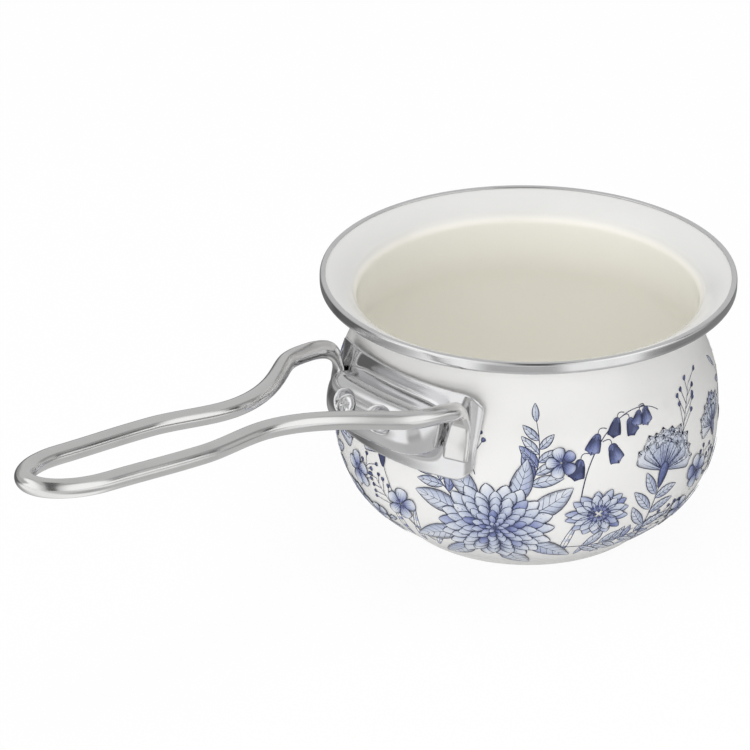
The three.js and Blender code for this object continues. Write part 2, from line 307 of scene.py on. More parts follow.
def strip_section(line: Array, thickness: float, cap_steps: int = 5) -> Array:
    """Closed section of a sheet that follows a line in the plane, with half-round edges.

    Args:
        line: Middle line of the sheet, with the outside on its right.
        thickness: Thickness of the sheet.
        cap_steps: Steps round each edge.

    Returns:
        Points along the outside, round the far edge, back along the inside and round the near edge.
    """
    along = unit(np.gradient(line, axis=0))
    out = np.stack([along[:, 1], -along[:, 0]], axis=-1) * thickness / 2.0
    half = np.linspace(0.0, math.pi, cap_steps + 2)[1:-1, None]
    far = line[-1] + out[-1] * np.cos(half) + along[-1] * thickness / 2.0 * np.sin(half)
    near = line[0] - out[0] * np.cos(half) - along[0] * thickness / 2.0 * np.sin(half)
    return np.concatenate([line + out, far, (line - out)[::-1], near])


def grid_normals(points: Array) -> Array:
    """Unit normals of a grid of points, across the rows and columns, on the side where they turn left."""
    return unit(np.cross(np.gradient(points, axis=1), np.gradient(points, axis=0)))


def pressed_sheet(front: Array, quads: Array, thickness: float, edge_steps: int = 6) -> Skin:
    """Closed sheet under a front surface, with half-round edges along every border of it.

    Args:
        front: Grid of points of the front, of shape (rows, columns, 3).
        quads: The quads of the grid that are kept.
        thickness: Thickness of the sheet, taken inwards from the front.
        edge_steps: Steps round an edge.

    Returns:
        The front, the back and the edges as one closed skin.
    """
    normal = grid_normals(front).reshape(-1, 3)
    face = front.reshape(-1, 3)
    back = face - normal * thickness
    count = len(face)
    edges = np.concatenate([quads[:, [i, (i + 1) % 4]] for i in range(4)])
    code, mirror = edges @ [count, 1], edges @ [1, count]
    border = edges[~np.isin(code, mirror)]
    rim = border[:, 0]
    follows, leads, place = np.zeros((3, count), int)
    follows[rim] = border[:, 1]
    leads[border[:, 1]] = rim
    place[rim] = np.arange(len(rim))
    out = unit(np.cross(face[follows[rim]] - face[leads[rim]], normal[rim]))
    middle = face[rim] - normal[rim] * thickness / 2.0
    turn = np.linspace(0.0, math.pi, edge_steps + 1)[1:-1, None, None]
    bead = middle + (out * np.sin(turn) + normal[rim] * np.cos(turn)) * thickness / 2.0
    rings = np.concatenate([
        rim[None], 2 * count + np.arange((edge_steps - 1) * len(rim)).reshape(edge_steps - 1, -1),
        count + rim[None],
    ])
    ahead = place[follows[rim]]
    hem = np.stack([rings[:-1, ahead], rings[:-1], rings[1:], rings[1:, ahead]], axis=-1).reshape(-1, 4)
    points = np.concatenate([face, back, bead.reshape(-1, 3)])
    used, faces = np.unique(np.concatenate([quads, quads[:, ::-1] + count, hem]), return_inverse=True)
    kept = points[used]
    return Skin(kept, faces.reshape(-1, 4), grain=kept)


class Wire:
    """An output socket that adds Math nodes when it stands in a Python expression."""

    def __init__(self, tree: ShaderTree, socket: bpy.types.NodeSocket) -> None:
        """Keeps the socket with its tree."""
        self.tree = tree
        self.socket = socket

    def __add__(self, other: Wire | float) -> Wire:
        """Sum of two values."""
        return self.tree.math("ADD", self, other)

    def __mul__(self, other: Wire | float) -> Wire:
        """Product of two values."""
        return self.tree.math("MULTIPLY", self, other)

    def __sub__(self, other: Wire | float) -> Wire:
        """This value less another."""
        return self.tree.math("SUBTRACT", self, other)

    def __rsub__(self, other: float) -> Wire:
        """A number less this value."""
        return self.tree.math("SUBTRACT", other, self)

    __radd__ = __add__
    __rmul__ = __mul__


class ShaderTree:
    """The nodes of a material or world, written as expressions on wires."""

    def __init__(self, owner: bpy.types.Material | bpy.types.World) -> None:
        """Empties the owner's node tree.

        Args:
            owner: The material or world.
        """
        owner.use_nodes = True
        self.made = owner.node_tree
        self.made.nodes.clear()

    def node(
        self, kind: str, settings: Mapping[str, object] | None = None,
        inputs: Mapping[str, object] | None = None,
    ) -> bpy.types.Node:
        """Adds one node.

        Args:
            kind: Type of the node, without the ShaderNode in front of it.
            settings: Properties, set first. "stops" holds a ramp's pairs of place and colour.
            inputs: Values or wires of its sockets, by identifier or by name.

        Returns:
            The new node.
        """
        made = self.made.nodes.new(f"ShaderNode{kind}")
        for name, value in (settings or {}).items():
            if name == "stops":
                for stop, (place, colour) in zip(self._stops(made.color_ramp, len(value)), value):
                    stop.position, stop.color = place, (*colour, 1.0)
            else:
                setattr(made, name, value)
        sockets = {socket.name: socket for socket in reversed(made.inputs)}
        sockets |= {socket.identifier: socket for socket in made.inputs}
        for name, value in (inputs or {}).items():
            if isinstance(value, Wire):
                self.made.links.new(value.socket, sockets[name])
            elif sockets[name].type == "RGBA":
                sockets[name].default_value = (*value, 1.0)
            else:
                sockets[name].default_value = value
        return made

    @staticmethod
    def _stops(ramp: bpy.types.ColorRamp, count: int) -> list[bpy.types.ColorRampElement]:
        """A ramp's stops, after adding as many as are wanted.

        Args:
            ramp: The ramp of a node.
            count: Number of stops wanted.

        Returns:
            The stops in order.
        """
        while len(ramp.elements) < count:
            ramp.elements.new(1.0)
        return list(ramp.elements)

    def wire(self, node: bpy.types.Node, output: str = "") -> Wire:
        """One output of a node, or its first."""
        return Wire(self, node.outputs[output] if output else node.outputs[0])

    def math(self, operation: str, *values: Wire | float) -> Wire:
        """A Math node on values."""
        names = ("Value", "Value_001", "Value_002")
        return self.wire(self.node("Math", {"operation": operation}, dict(zip(names, values))))

    def ramp(self, value: Wire, low: float, high: float) -> Wire:
        """Smooth ramp of a value, 0 at low and 1 at high."""
        ends = {"Value": value, "From Min": low, "From Max": high}
        return self.wire(self.node("MapRange", {"interpolation_type": "SMOOTHSTEP"}, ends))

    def between(self, value: Wire, low: float, high: float, soft: float) -> Wire:
        """1 where a value lies from low to high, fading out over a soft margin on either side."""
        return self.ramp(value, low - soft, low + soft) - self.ramp(value, high - soft, high + soft)

    def noise(self, place: Wire, scale: float, detail: float = 2.0, rough: float = 0.5) -> Wire:
        """Cloudy noise between about 0 and 1."""
        inputs = {"Vector": place, "Scale": scale, "Detail": detail, "Roughness": rough}
        return self.wire(self.node("TexNoise", None, inputs))

    def mix(self, share: Wire, first: Wire | Colour, second: Wire | Colour) -> Wire:
        """Colour between two.

        Args:
            share: Share of the second colour.
            first: Colour at share 0.
            second: Colour at share 1.

        Returns:
            The mixed colour.
        """
        inputs = {"Factor_Float": share, "A_Color": first, "B_Color": second}
        mixed = self.node("Mix", {"data_type": "RGBA"}, inputs)
        return Wire(self, next(out for out in mixed.outputs if out.identifier == "Result_Color"))

    def blend(self, share: Wire, first: Wire, second: Wire) -> Wire:
        """Shader between two, the first at share 0."""
        return self.wire(self.node("MixShader", None, {"Fac": share, "Shader": first, "Shader_001": second}))

    def stretched(self, place: Wire, scale: Triple) -> Wire:
        """A place scaled along its axes."""
        return self.wire(self.node("Mapping", None, {"Vector": place, "Scale": scale}))

    def object_place(self) -> Wire:
        """Place in the piece's own coordinates, in metres."""
        return self.wire(self.node("TexCoord"), "Object")

    def attribute(self, name: str, output: str) -> Wire:
        """A value that the mesh stores at its points."""
        return self.wire(self.node("Attribute", {"attribute_name": name}), output)

    def bump(self, height: Wire, strength: float, distance: float) -> Wire:
        """Normal tilted by a height."""
        inputs = {"Height": height, "Strength": strength, "Distance": distance}
        return self.wire(self.node("Bump", None, inputs))

    def surface(self, inputs: Mapping[str, object]) -> None:
        """Ends a material with a Principled shader."""
        shader = self.wire(self.node("BsdfPrincipled", None, inputs))
        self.node("OutputMaterial", None, {"Surface": shader})


@dataclass(frozen=True)
class Enamel:
    """Vitreous enamel: faintly clouded under a glassy skin with a slight orange peel, and a painted shade
    near the rim.
    """

    name: str
    colour: Colour
    clouded: Colour
    shaded_rim_colour: Colour
    rim_from: float = 99.0
    rim_to: float = 103.5
    roughness: float = 0.1
    peel: float = 0.05
    cloud_scale: float = 34.0
    cloud_share: float = 0.55
    speck_scale: float = 1900.0
    speck_share: float = 0.22
    speck_colour: Colour = (0.35, 0.33, 0.3)
    peel_scale: float = 260.0
    sheen_scale: float = 90.0

    def material(self) -> bpy.types.Material:
        """The enamel as a Blender material.

        Returns:
            The new material.
        """
        made = bpy.data.materials.new(self.name)
        tree = ShaderTree(made)
        place = tree.object_place()
        height = tree.wire(tree.node("SeparateXYZ", None, {"Vector": place}), "Z")
        # Painted shade: towards the rim the colour goes over to the shaded rim colour, which dims the
        # brightly lit flare.
        rim_shade_share = tree.ramp(height, self.rim_from * MM, self.rim_to * MM)
        clouds = tree.ramp(tree.noise(place, self.cloud_scale, 3.0), 0.35, 0.75)
        specks = tree.ramp(tree.noise(place, self.speck_scale, 1.0), 0.74, 0.8)
        clouded = tree.mix(clouds * self.cloud_share, self.colour, self.clouded)
        body = tree.mix(rim_shade_share, clouded, self.shaded_rim_colour)
        waves = tree.noise(place, self.peel_scale, 1.5)
        tree.surface({
            "Base Color": tree.mix(specks * self.speck_share, body, self.speck_colour),
            "Roughness": self.roughness + 0.05 * tree.noise(place, self.sheen_scale),
            "Normal": tree.bump(waves, self.peel, 0.2 * MM),
            "IOR": GLAZE_IOR,
        })
        return made


@dataclass(frozen=True)
class PrintInk:
    """Ceramic ink fired into the enamel, from a thin to a full tone."""

    name: str
    stops: tuple[tuple[float, Colour], ...]
    unevenness: float
    roughness: float = 0.1
    grain_scale: float = 900.0
    sheen_scale: float = 90.0

    def material(self) -> bpy.types.Material:
        """The ink as a Blender material that reads the mesh's tone.

        Returns:
            The new material.
        """
        made = bpy.data.materials.new(self.name)
        tree = ShaderTree(made)
        place = tree.object_place()
        tone = tree.attribute("tone", "Fac")
        grains = tree.noise(place, self.grain_scale, 2.0) - 0.5
        uneven = tone + grains * self.unevenness
        ramp = tree.node("ValToRGB", {"stops": self.stops}, {"Fac": uneven})
        tree.surface({
            "Base Color": tree.wire(ramp, "Color"),
            "Roughness": self.roughness + 0.05 * tree.noise(place, self.sheen_scale),
            "IOR": GLAZE_IOR,
        })
        return made


class Grain(Enum):
    """What the polish lines of a steel follow."""

    MESH = "grain"
    PLACE = "place"


@dataclass(frozen=True)
class Steel:
    """Bare steel: polish lines along its grain, faint smudges and a soft waviness in its reflections."""

    name: str
    colour: Colour
    roughness: float
    line_scale: Triple
    line_depth: float = 0.04
    smudges: float = 0.06
    waviness: float = 0.05
    grain: Grain = Grain.MESH
    smudge_scale: float = 70.0
    smudge_share: float = 0.45
    smudge_shade: float = 0.86
    wave_scale: float = 120.0

    def material(self) -> bpy.types.Material:
        """The steel as a Blender material.

        Returns:
            The new material.
        """
        made = bpy.data.materials.new(self.name)
        tree = ShaderTree(made)
        place = tree.object_place()
        follows = place if self.grain is Grain.PLACE else tree.attribute("grain", "Vector")
        lines = tree.noise(tree.stretched(follows, self.line_scale), 1.0, 3.0, 0.6)
        touched = tree.ramp(tree.noise(place, self.smudge_scale, 4.0), 0.42, 0.78)
        waves = tree.noise(place, self.wave_scale, 1.0)
        dull = tuple(self.smudge_shade * part for part in self.colour)
        tree.surface({
            "Base Color": tree.mix(touched * self.smudge_share, self.colour, dull),
            "Metallic": 1.0,
            "Roughness": self.roughness + (lines - 0.5) * 0.08 + touched * self.smudges,
            "Normal": tree.bump(lines * self.line_depth + waves * self.waviness, 1.0, 0.4 * MM),
        })
        return made


def add_piece(
    name: str, skin: Skin, material: bpy.types.Material, stands_for: Sequence[str] = (),
) -> bpy.types.Object:
    """Puts a skin into the scene as a piece that rides on the part.

    Args:
        name: Name of the piece.
        skin: Its surface.
        material: Its finish.
        stands_for: CAD nodes that it replaces.

    Returns:
        The new object.
    """
    made = bpy.data.objects.new(name, skin.mesh(name))
    made.data.materials.append(material)
    bpy.context.scene.collection.objects.link(made)
    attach(made, BODY)
    if stands_for:
        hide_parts(*stands_for)
    triangles = 2 * len(skin.quads) + len(skin.triangles)
    log.info("%s: %d triangles, %s", name, triangles, material.name)
    return made


@dataclass
class PanProfile:
    """Outside profile of the pan: flat base, rounded foot, bowl, belly, neck and flare."""

    height: float = 109.4
    base_radius: float = 51.2
    base_round: float = 4.0
    bowl_angle: float = 51.0
    belly_radius: float = 79.1
    belly_height: float = 47.0
    neck_radius: float = 71.2
    neck_drop: float = 11.5
    bowl_fullness: float = 0.67
    foot_fullness: float = 0.16
    shoulder_fullness: float = 0.67
    neck_fullness: float = 0.58
    flare_fullness: float = 0.32
    edge_radius: float = 83.55
    edge_height: float = 107.45
    base_steps: int = 8
    foot_steps: int = 10
    wall_steps: int = 46
    flare_steps: int = 26

    def __post_init__(self) -> None:
        """Works out the points, outward normals and lengths along the profile."""
        bowl = math.radians(self.bowl_angle)
        slope = np.array([math.cos(bowl), math.sin(bowl)])
        foot = (self.base_radius - self.base_round, 0.0)
        start = np.array([self.base_radius, 0.0]) + self.base_round * slope
        belly = (self.belly_radius, self.belly_height)
        neck = (self.neck_radius, self.height - self.neck_drop)
        edge = (self.edge_radius, self.edge_height)
        rise = neck[1] - belly[1]
        pull = self.flare_fullness * self.neck_drop
        bowl_pull = start + self.foot_fullness * self.belly_height * slope
        self.points = np.concatenate([
            [(0.0, 0.0)],
            bezier([(0.0, 0.0), foot], self.base_steps),
            bezier([foot, (self.base_radius, 0.0), start], self.foot_steps),
            bezier([
                start, bowl_pull, (belly[0], belly[1] * (1.0 - self.bowl_fullness)), belly,
            ], self.wall_steps),
            bezier([
                belly, (belly[0], belly[1] + self.shoulder_fullness * rise),
                (neck[0], neck[1] - self.neck_fullness * rise), neck,
            ], self.wall_steps),
            bezier([neck, (neck[0], neck[1] + pull), (edge[0] - pull, edge[1]), edge], self.flare_steps),
        ])
        along = unit(np.gradient(self.points, axis=0))
        self.normals = np.stack([along[:, 1], -along[:, 0]], axis=-1)
        self.normals[0] = (0.0, -1.0)
        self.lengths = lengths_along(self.points)

    def layer(self, depth: float) -> Array:
        """The profile moved in through the wall.

        Args:
            depth: Depth below the outside.

        Returns:
            Points of (radius, height), the first on the axis.
        """
        moved = self.points - depth * self.normals
        moved[0, 0] = 0.0
        return moved

    def radius_at(self, height: Array) -> Array:
        """Outer radius at heights above the base."""
        return np.interp(height, self.points[:, 1], self.points[:, 0])

    def length_at(self, height: float) -> float:
        """Distance along the profile, from the axis, of a height above the base."""
        return float(np.interp(height, self.points[:, 1], self.lengths))

    def on_wall(self, angle: Array, across: Array, along: Array, lift: Array) -> Array:
        """Lays a flat drawing on the wall: the turn is the distance across divided by the local radius.

        Args:
            angle: Place of the drawing's middle round the axis, in radians.
            across: Distances to the right of the middle.
            along: Distances along the profile from the axis.
            lift: Height above the enamel.

        Returns:
            Points of shape (..., 3).
        """
        radius, height, out, up = (
            np.interp(along, self.lengths, values) for values in (*self.points.T, *self.normals.T))
        turn = angle + across / radius
        reach = radius + out * lift
        return np.stack([reach * np.cos(turn), reach * np.sin(turn), height + up * lift], axis=-1)


@dataclass
class PanBody:
    """The pan: two enamel coats on a steel core, and the steel band over its edge."""

    profile: PanProfile
    coat: float = 0.24
    core_from: float = 0.26
    core_to: float = 1.04
    hairline: float = 0.02
    wall: float = 1.3
    sides: int = 192
    core_sides: int = 96
    trim_sides: int = 256
    trim_sheet: float = 0.5
    ridge_height: float = 102.4
    ridge_width: float = 0.9
    ridge_depth: float = 0.22
    band_steps: int = 56
    band: tuple[Pair, ...] = (
        (82.4, 104.9), (83.2, 104.62), (84.0, 104.6), (84.5, 104.95), (84.68, 105.7), (84.7, 106.6),
        (84.7, 107.7), (84.68, 108.4), (84.5, 108.92), (84.05, 109.14), (83.45, 109.14), (82.85, 109.0),
    )

    def build(self, white: Enamel, cream: Enamel, core: Steel, trim: Steel) -> None:
        """Builds and dresses the pan's four pieces.

        Args:
            white: Finish of the outside.
            cream: Finish of the inside.
            core: Finish of the steel under the enamel.
            trim: Finish of the band.
        """
        outside = self.shell(0.0, self.coat, self.sides)
        add_piece("outer_coat", outside, white.material(), ["outer_enamel"])
        middle = self.shell(self.core_from, self.core_to, self.core_sides)
        add_piece("steel_core", middle, core.material(), ["steel_shell"])
        inside = self.shell(self.core_to + self.hairline, self.wall, self.sides, self.ridge_depth)
        add_piece("inner_coat", inside, cream.material(), ["inner_enamel"])
        add_piece("rim_band", self.rim_band(), trim.material(), ["rim_trim"])

    def shell(self, outer: float, inner: float, sides: int, ridge: float = 0.0) -> Skin:
        """One layer of the wall between two depths, closed at the flare's edge.

        The inner face may have a soft ridge round the foot of the flare, a bell curve over the height.

        Args:
            outer: Depth of its outer face.
            inner: Depth of its inner face.
            sides: Steps round the axis.
            ridge: Height of the ridge.

        Returns:
            The closed layer.
        """
        face = self.profile.layer(inner)
        swell = ridge * np.exp(-(((face[:, 1] - self.ridge_height) / self.ridge_width) ** 2))
        face = face - swell[:, None] * self.profile.normals
        return turned_shell(np.concatenate([self.profile.layer(outer), face[::-1]]), sides)

    def rim_band(self) -> Skin:
        """Band rolled over the flare's edge: under it, round the outside, over the top and down inside."""
        line = even_steps(smooth_curve(np.array(self.band), 240), self.band_steps)
        return turned_loop(strip_section(line, self.trim_sheet), self.trim_sides)


@dataclass
class HandleBracket:
    """Pressed plate, flatter than the wall behind it, with a hollow dome, two dimples and screw holes."""

    profile: PanProfile
    gap: float = 0.3
    sheet: float = 1.2
    width: float = 81.0
    top: float = 89.4
    bottom: float = 53.2
    corner: float = 7.0
    stand_off: float = 4.2
    stand_off_below: float = 0.3
    lean: float = 0.185
    stiffness: float = 0.8
    fold: float = 4.2
    dome_axis: float = 71.6
    dome_radius: float = 9.4
    dome_nose: float = 94.0
    dome_half_width: float = 29.0
    dome_end_power: float = 3.2
    dome_end_size: float = 0.3
    dome_end_sink: float = 2.0
    crown_radius: float = 10.8
    crown_reach: float = 13.0
    crown_power: float = 2.3
    crown_edge: float = 2.6
    crown_lift: float = 3.2
    crown_slant: float = 8.0
    top_draft: float = 4.0
    bottom_draft: float = 24.0
    fillet: float = 1.1
    column_step: float = 0.3
    screw_spacing: float = 20.2
    screw_rise: float = 33.0
    dimple_radius: float = 6.4
    dimple_floor: float = 4.7
    dimple_depth: float = 1.6
    hole_radius: float = 2.7
    hole_rim: float = 0.8
    hole_middle: float = 0.55
    columns: int = 250
    rows: int = 150
    fine_columns: int = 4001
    fine_rows: int = 2400

    def __post_init__(self) -> None:
        """Works out how far the front reaches to either side, up to its half-round edge."""
        self.edge = self.width / 2.0 - self.sheet / 2.0

    def plate_reach(self, across: Array, height: Array) -> Array:
        """Distance of the plate's front from the pan's axis plane.

        Its radius follows the wall's, but is straighter from top to bottom, so that the plate touches the
        wall at half its height. Towards the upper corners the plate stands off the wall, by the square of
        the place across, and at its two ends it folds back to the wall on a quarter ellipse.

        Args:
            across: Places along X.
            height: Heights above the base.

        Returns:
            Distances from the pan's axis plane.
        """
        middle = (self.top + self.bottom) / 2.0
        straight = self.profile.radius_at(middle) - self.lean * (height - middle)
        follows = self.profile.radius_at(height)
        radius = follows + np.maximum(straight - follows, 0.0) * self.stiffness + self.gap + self.sheet
        below = self.stand_off_below
        share = below + (1.0 - below) * (height - self.bottom) / (self.top - self.bottom)
        stand = self.stand_off * share * (2.0 * across / self.width) ** 2
        inward = np.clip((self.edge - np.abs(across)) / self.fold, 0.0, 1.0)
        return np.sqrt(radius**2 - across**2) + stand * np.sqrt(1.0 - (1.0 - inward) ** 2)

    def dome_reach(self, across: Array, height: Array) -> Array:
        """Distance of the dome's front: a round nose that runs on into two drafted flanks.

        Above its axis the front slants back to a flat shelf, a superellipse. The nose shrinks towards the
        ends as another one.

        Args:
            across: Places along X.
            height: Heights above the base.

        Returns:
            Distances from the pan's axis plane.
        """
        end = np.clip(np.abs(across) / self.dome_half_width, 0.0, 1.0)
        fullness = (1.0 - end**self.dome_end_power) ** (1.0 / self.dome_end_power)
        foot = self.plate_reach(across, np.full_like(across, self.dome_axis))
        sink = self.dome_end_sink * (1.0 - smoothstep(0.0, 0.05, fullness))
        nose = foot + (self.dome_nose - foot) * fullness - sink
        rise = height - self.dome_axis
        above = rise > 0.0
        size = self.dome_end_size + (1.0 - self.dome_end_size) * fullness
        radius = np.where(above, self.crown_radius, self.dome_radius) * size
        depth = np.where(above, self.crown_reach, self.dome_radius) * size
        draft = np.radians(np.where(above, self.top_draft, self.bottom_draft))
        power = np.where(above, self.crown_power, 2.0)
        edge = np.where(above, self.crown_edge, 2.0)
        arc = np.minimum(np.abs(rise) / radius, np.cos(draft))
        flank = np.maximum(np.abs(rise) - radius * np.cos(draft), 0.0)
        return nose + depth * ((1.0 - arc**power) ** (1.0 / edge) - 1.0) - flank / np.tan(draft)

    def places_across(self) -> Array:
        """Columns along X, closer together where the dome's ends and the plate's corners are steep.

        Returns:
            Places from one end to the other.
        """
        fine = np.linspace(-self.edge, self.edge, self.fine_columns)
        level = np.full_like(fine, self.dome_axis)
        ridge = np.maximum(self.dome_reach(fine, level), self.plate_reach(fine, level))
        steep = 1.0 + np.abs(np.gradient(ridge, fine)) + np.abs(np.gradient(self.corner_drop(fine), fine))
        along = np.concatenate([[0.0], np.cumsum((steep[1:] + steep[:-1]) / 2.0 * np.diff(fine))])
        return np.interp(np.linspace(0.0, along[-1], self.columns), along, fine)

    def corner_drop(self, across: Array) -> Array:
        """How far the rounded corners cut the plate's upper and lower edges back, on a quarter circle.

        Args:
            across: Places along X.

        Returns:
            Distances down from the upper edge or up from the lower one.
        """
        radius = self.corner - self.sheet / 2.0
        inward = np.clip(np.abs(across) - (self.edge - radius), 0.0, radius)
        return radius - np.sqrt(np.maximum(radius**2 - inward**2, 0.0))

    def front(self) -> Array:
        """The bracket's front as a grid: for each place across, a section from the lower to the upper edge.

        The section is the larger of the plate's and the dome's reach, lifted at the dome's upper edge. It has
        equal steps along it and is smoothed in both directions so that its corners become fillets.

        Returns:
            Points of shape (rows, columns, 3).
        """
        across = self.places_across()
        drop = self.corner_drop(across) + self.sheet / 2.0
        share = np.linspace(0.0, 1.0, self.fine_rows)[:, None]
        height = (self.bottom + drop) * (1.0 - share) + (self.top - drop) * share
        spread = np.broadcast_to(across, height.shape)
        plate = self.plate_reach(spread, height)
        reach = np.maximum(plate, self.dome_reach(spread, height))
        out = smoothstep(0.0, self.crown_reach, reach - plate)
        lift = self.crown_lift * out * smoothstep(self.dome_axis, self.dome_axis + self.crown_slant, height)
        sections = np.stack([reach, height + lift], axis=-1)
        even = np.stack([even_steps(sections[:, i], self.rows) for i in range(self.columns)], axis=1)
        grid = np.stack([np.broadcast_to(across, even.shape[:2]), -even[..., 0], even[..., 1]], axis=-1)
        step = np.linalg.norm(np.diff(even, axis=0), axis=-1).mean()
        softened = blurred(blurred(grid, self.fillet / step, 0), self.fillet / self.column_step, 1)
        softened[[0, -1]] = grid[[0, -1]]
        softened[:, [0, -1]] = grid[:, [0, -1]]
        return softened

    def screw_axis(self, side: int) -> tuple[Array, Array]:
        """Where a screw stands.

        Args:
            side: -1 or 1, the dimple along X.

        Returns:
            The middle of the dimple's floor, and the direction out along the screw.
        """
        rise = math.radians(self.screw_rise)
        axis = np.array([0.0, -math.cos(rise), math.sin(rise)])
        across = side * self.screw_spacing / 2.0
        centre = np.array([across, self.dome_radius - self.dome_nose, self.dome_axis])
        return centre + axis * (self.dome_radius - self.dimple_depth), axis

    def dimpled(self, front: Array) -> tuple[Array, Array]:
        """Presses the dimples into the front and opens their screw holes.

        Inside a dimple the height along the screw's axis goes over to the floor's. Near the axis the points
        move outwards, so that the hole keeps its radius: r' = sqrt(hole^2 + r^2 (1 - hole^2 / rim^2)).

        Args:
            front: Grid of points of the front.

        Returns:
            The dimpled grid, and a mask of the points that lie at the middle of a hole.
        """
        pressed = front.copy()
        middle = np.zeros(front.shape[:2], bool)
        rim = self.hole_radius + self.hole_rim
        for side in (-1, 1):
            floor, axis = self.screw_axis(side)
            rise = (pressed - floor) @ axis
            radial = pressed - floor - rise[..., None] * axis
            radius = np.linalg.norm(radial, axis=-1)
            share = 1.0 - smoothstep(self.dimple_floor, self.dimple_radius, radius)
            near = np.abs(rise) < 3.0 * self.dimple_depth
            share = np.where(near, share, 0.0)
            opened = np.sqrt(self.hole_radius**2 + radius**2 * (1.0 - (self.hole_radius / rim) ** 2))
            opened = np.where(near & (radius < rim), opened, radius)
            pressed = (
                floor + np.where(rise > 0.0, rise * (1.0 - share), rise)[..., None] * axis
                + radial * (opened / np.maximum(radius, 1e-6))[..., None]
            )
            middle |= near & (radius < self.hole_middle)
        return pressed, middle

    def build(self, steel: Steel) -> None:
        """Builds the bracket and dresses it.

        Args:
            steel: Finish.
        """
        front, middle = self.dimpled(self.front())
        quads = grid_quads(self.rows, self.columns)
        open_hole = middle.ravel()[quads].any(axis=1)
        skin = pressed_sheet(front, quads[~open_hole], self.sheet)
        add_piece("bracket", skin, steel.material(), ["handle_bracket"])


@dataclass
class HandleScrew:
    """Pan-head screw with a cross recess and a plain shank."""

    bracket: HandleBracket
    head_radius: float = 4.0
    head_height: float = 1.9
    seat_gap: float = 0.3
    edge_height: float = 0.7
    edge_chamfer: float = 0.25
    crown_flat: float = 2.9
    crown_drop: float = 0.45
    shank_radius: float = 2.4
    shank_length: float = 10.0
    shank_neck: float = 0.4
    shank_chamfer: float = 0.6
    recess_width: float = 1.15
    recess_span: float = 4.8
    recess_depth: float = 1.1
    recess_wall: Pair = (0.12, 0.18)
    recess_end: Pair = (0.9, 0.2)
    sides: int = 120

    def section(self) -> Array:
        """Half section from the head's crown over its edge and down the shank.

        Returns:
            Points of (radius, height), the first and last on the axis.
        """
        head, shank, end = self.head_radius, self.shank_radius, -self.shank_length
        low, high = self.seat_gap, self.seat_gap + self.head_height
        edge = (head, low + self.edge_height)
        crown = bezier([(0.0, high), (self.crown_flat, high), (head, high - self.crown_drop), edge], 44)
        foot = [
            (head, low + self.edge_chamfer), (head - self.edge_chamfer, low), (shank, low),
            (shank, low - self.shank_neck), (shank, self.shank_chamfer + end),
            (shank - self.shank_chamfer, end), (0.0, end),
        ]
        return np.concatenate([[(0.0, high)], crown, foot])

    def build(self, name: str, side: int, turn: float, steel: Steel) -> None:
        """Builds one screw in its dimple.

        The recess lowers the crown by a depth that fades out at the walls of two crossed slots.

        Args:
            name: Name of the piece and of the node that it replaces.
            side: -1 or 1, the dimple along X.
            turn: Where the recess points, in degrees.
            steel: Finish.
        """
        skin = turned_shell(self.section()[::-1], self.sides)
        x, y, z = skin.points.T
        spin = math.radians(turn)
        u, v = x * math.cos(spin) + y * math.sin(spin), y * math.cos(spin) - x * math.sin(spin)
        half, reach = self.recess_width / 2.0, self.recess_span / 2.0
        slots = [
            (1.0 - smoothstep(half - self.recess_wall[0], half + self.recess_wall[1], np.abs(a)))
            * (1.0 - smoothstep(reach - self.recess_end[0], reach + self.recess_end[1], np.abs(b)))
            for a, b in ((u, v), (v, u))
        ]
        on_crown = z > self.seat_gap + self.edge_height
        z = z - on_crown * self.recess_depth * np.maximum(*slots)
        floor, out = self.bracket.screw_axis(side)
        right = np.array([1.0, 0.0, 0.0])
        up = np.cross(out, right)
        placed = floor + x[:, None] * right + y[:, None] * up + z[:, None] * out
        made = Skin(placed, skin.quads, skin.triangles, grain=np.stack([x, y, z], axis=-1))
        add_piece(f"{name}_head", made, steel.material(), [name])


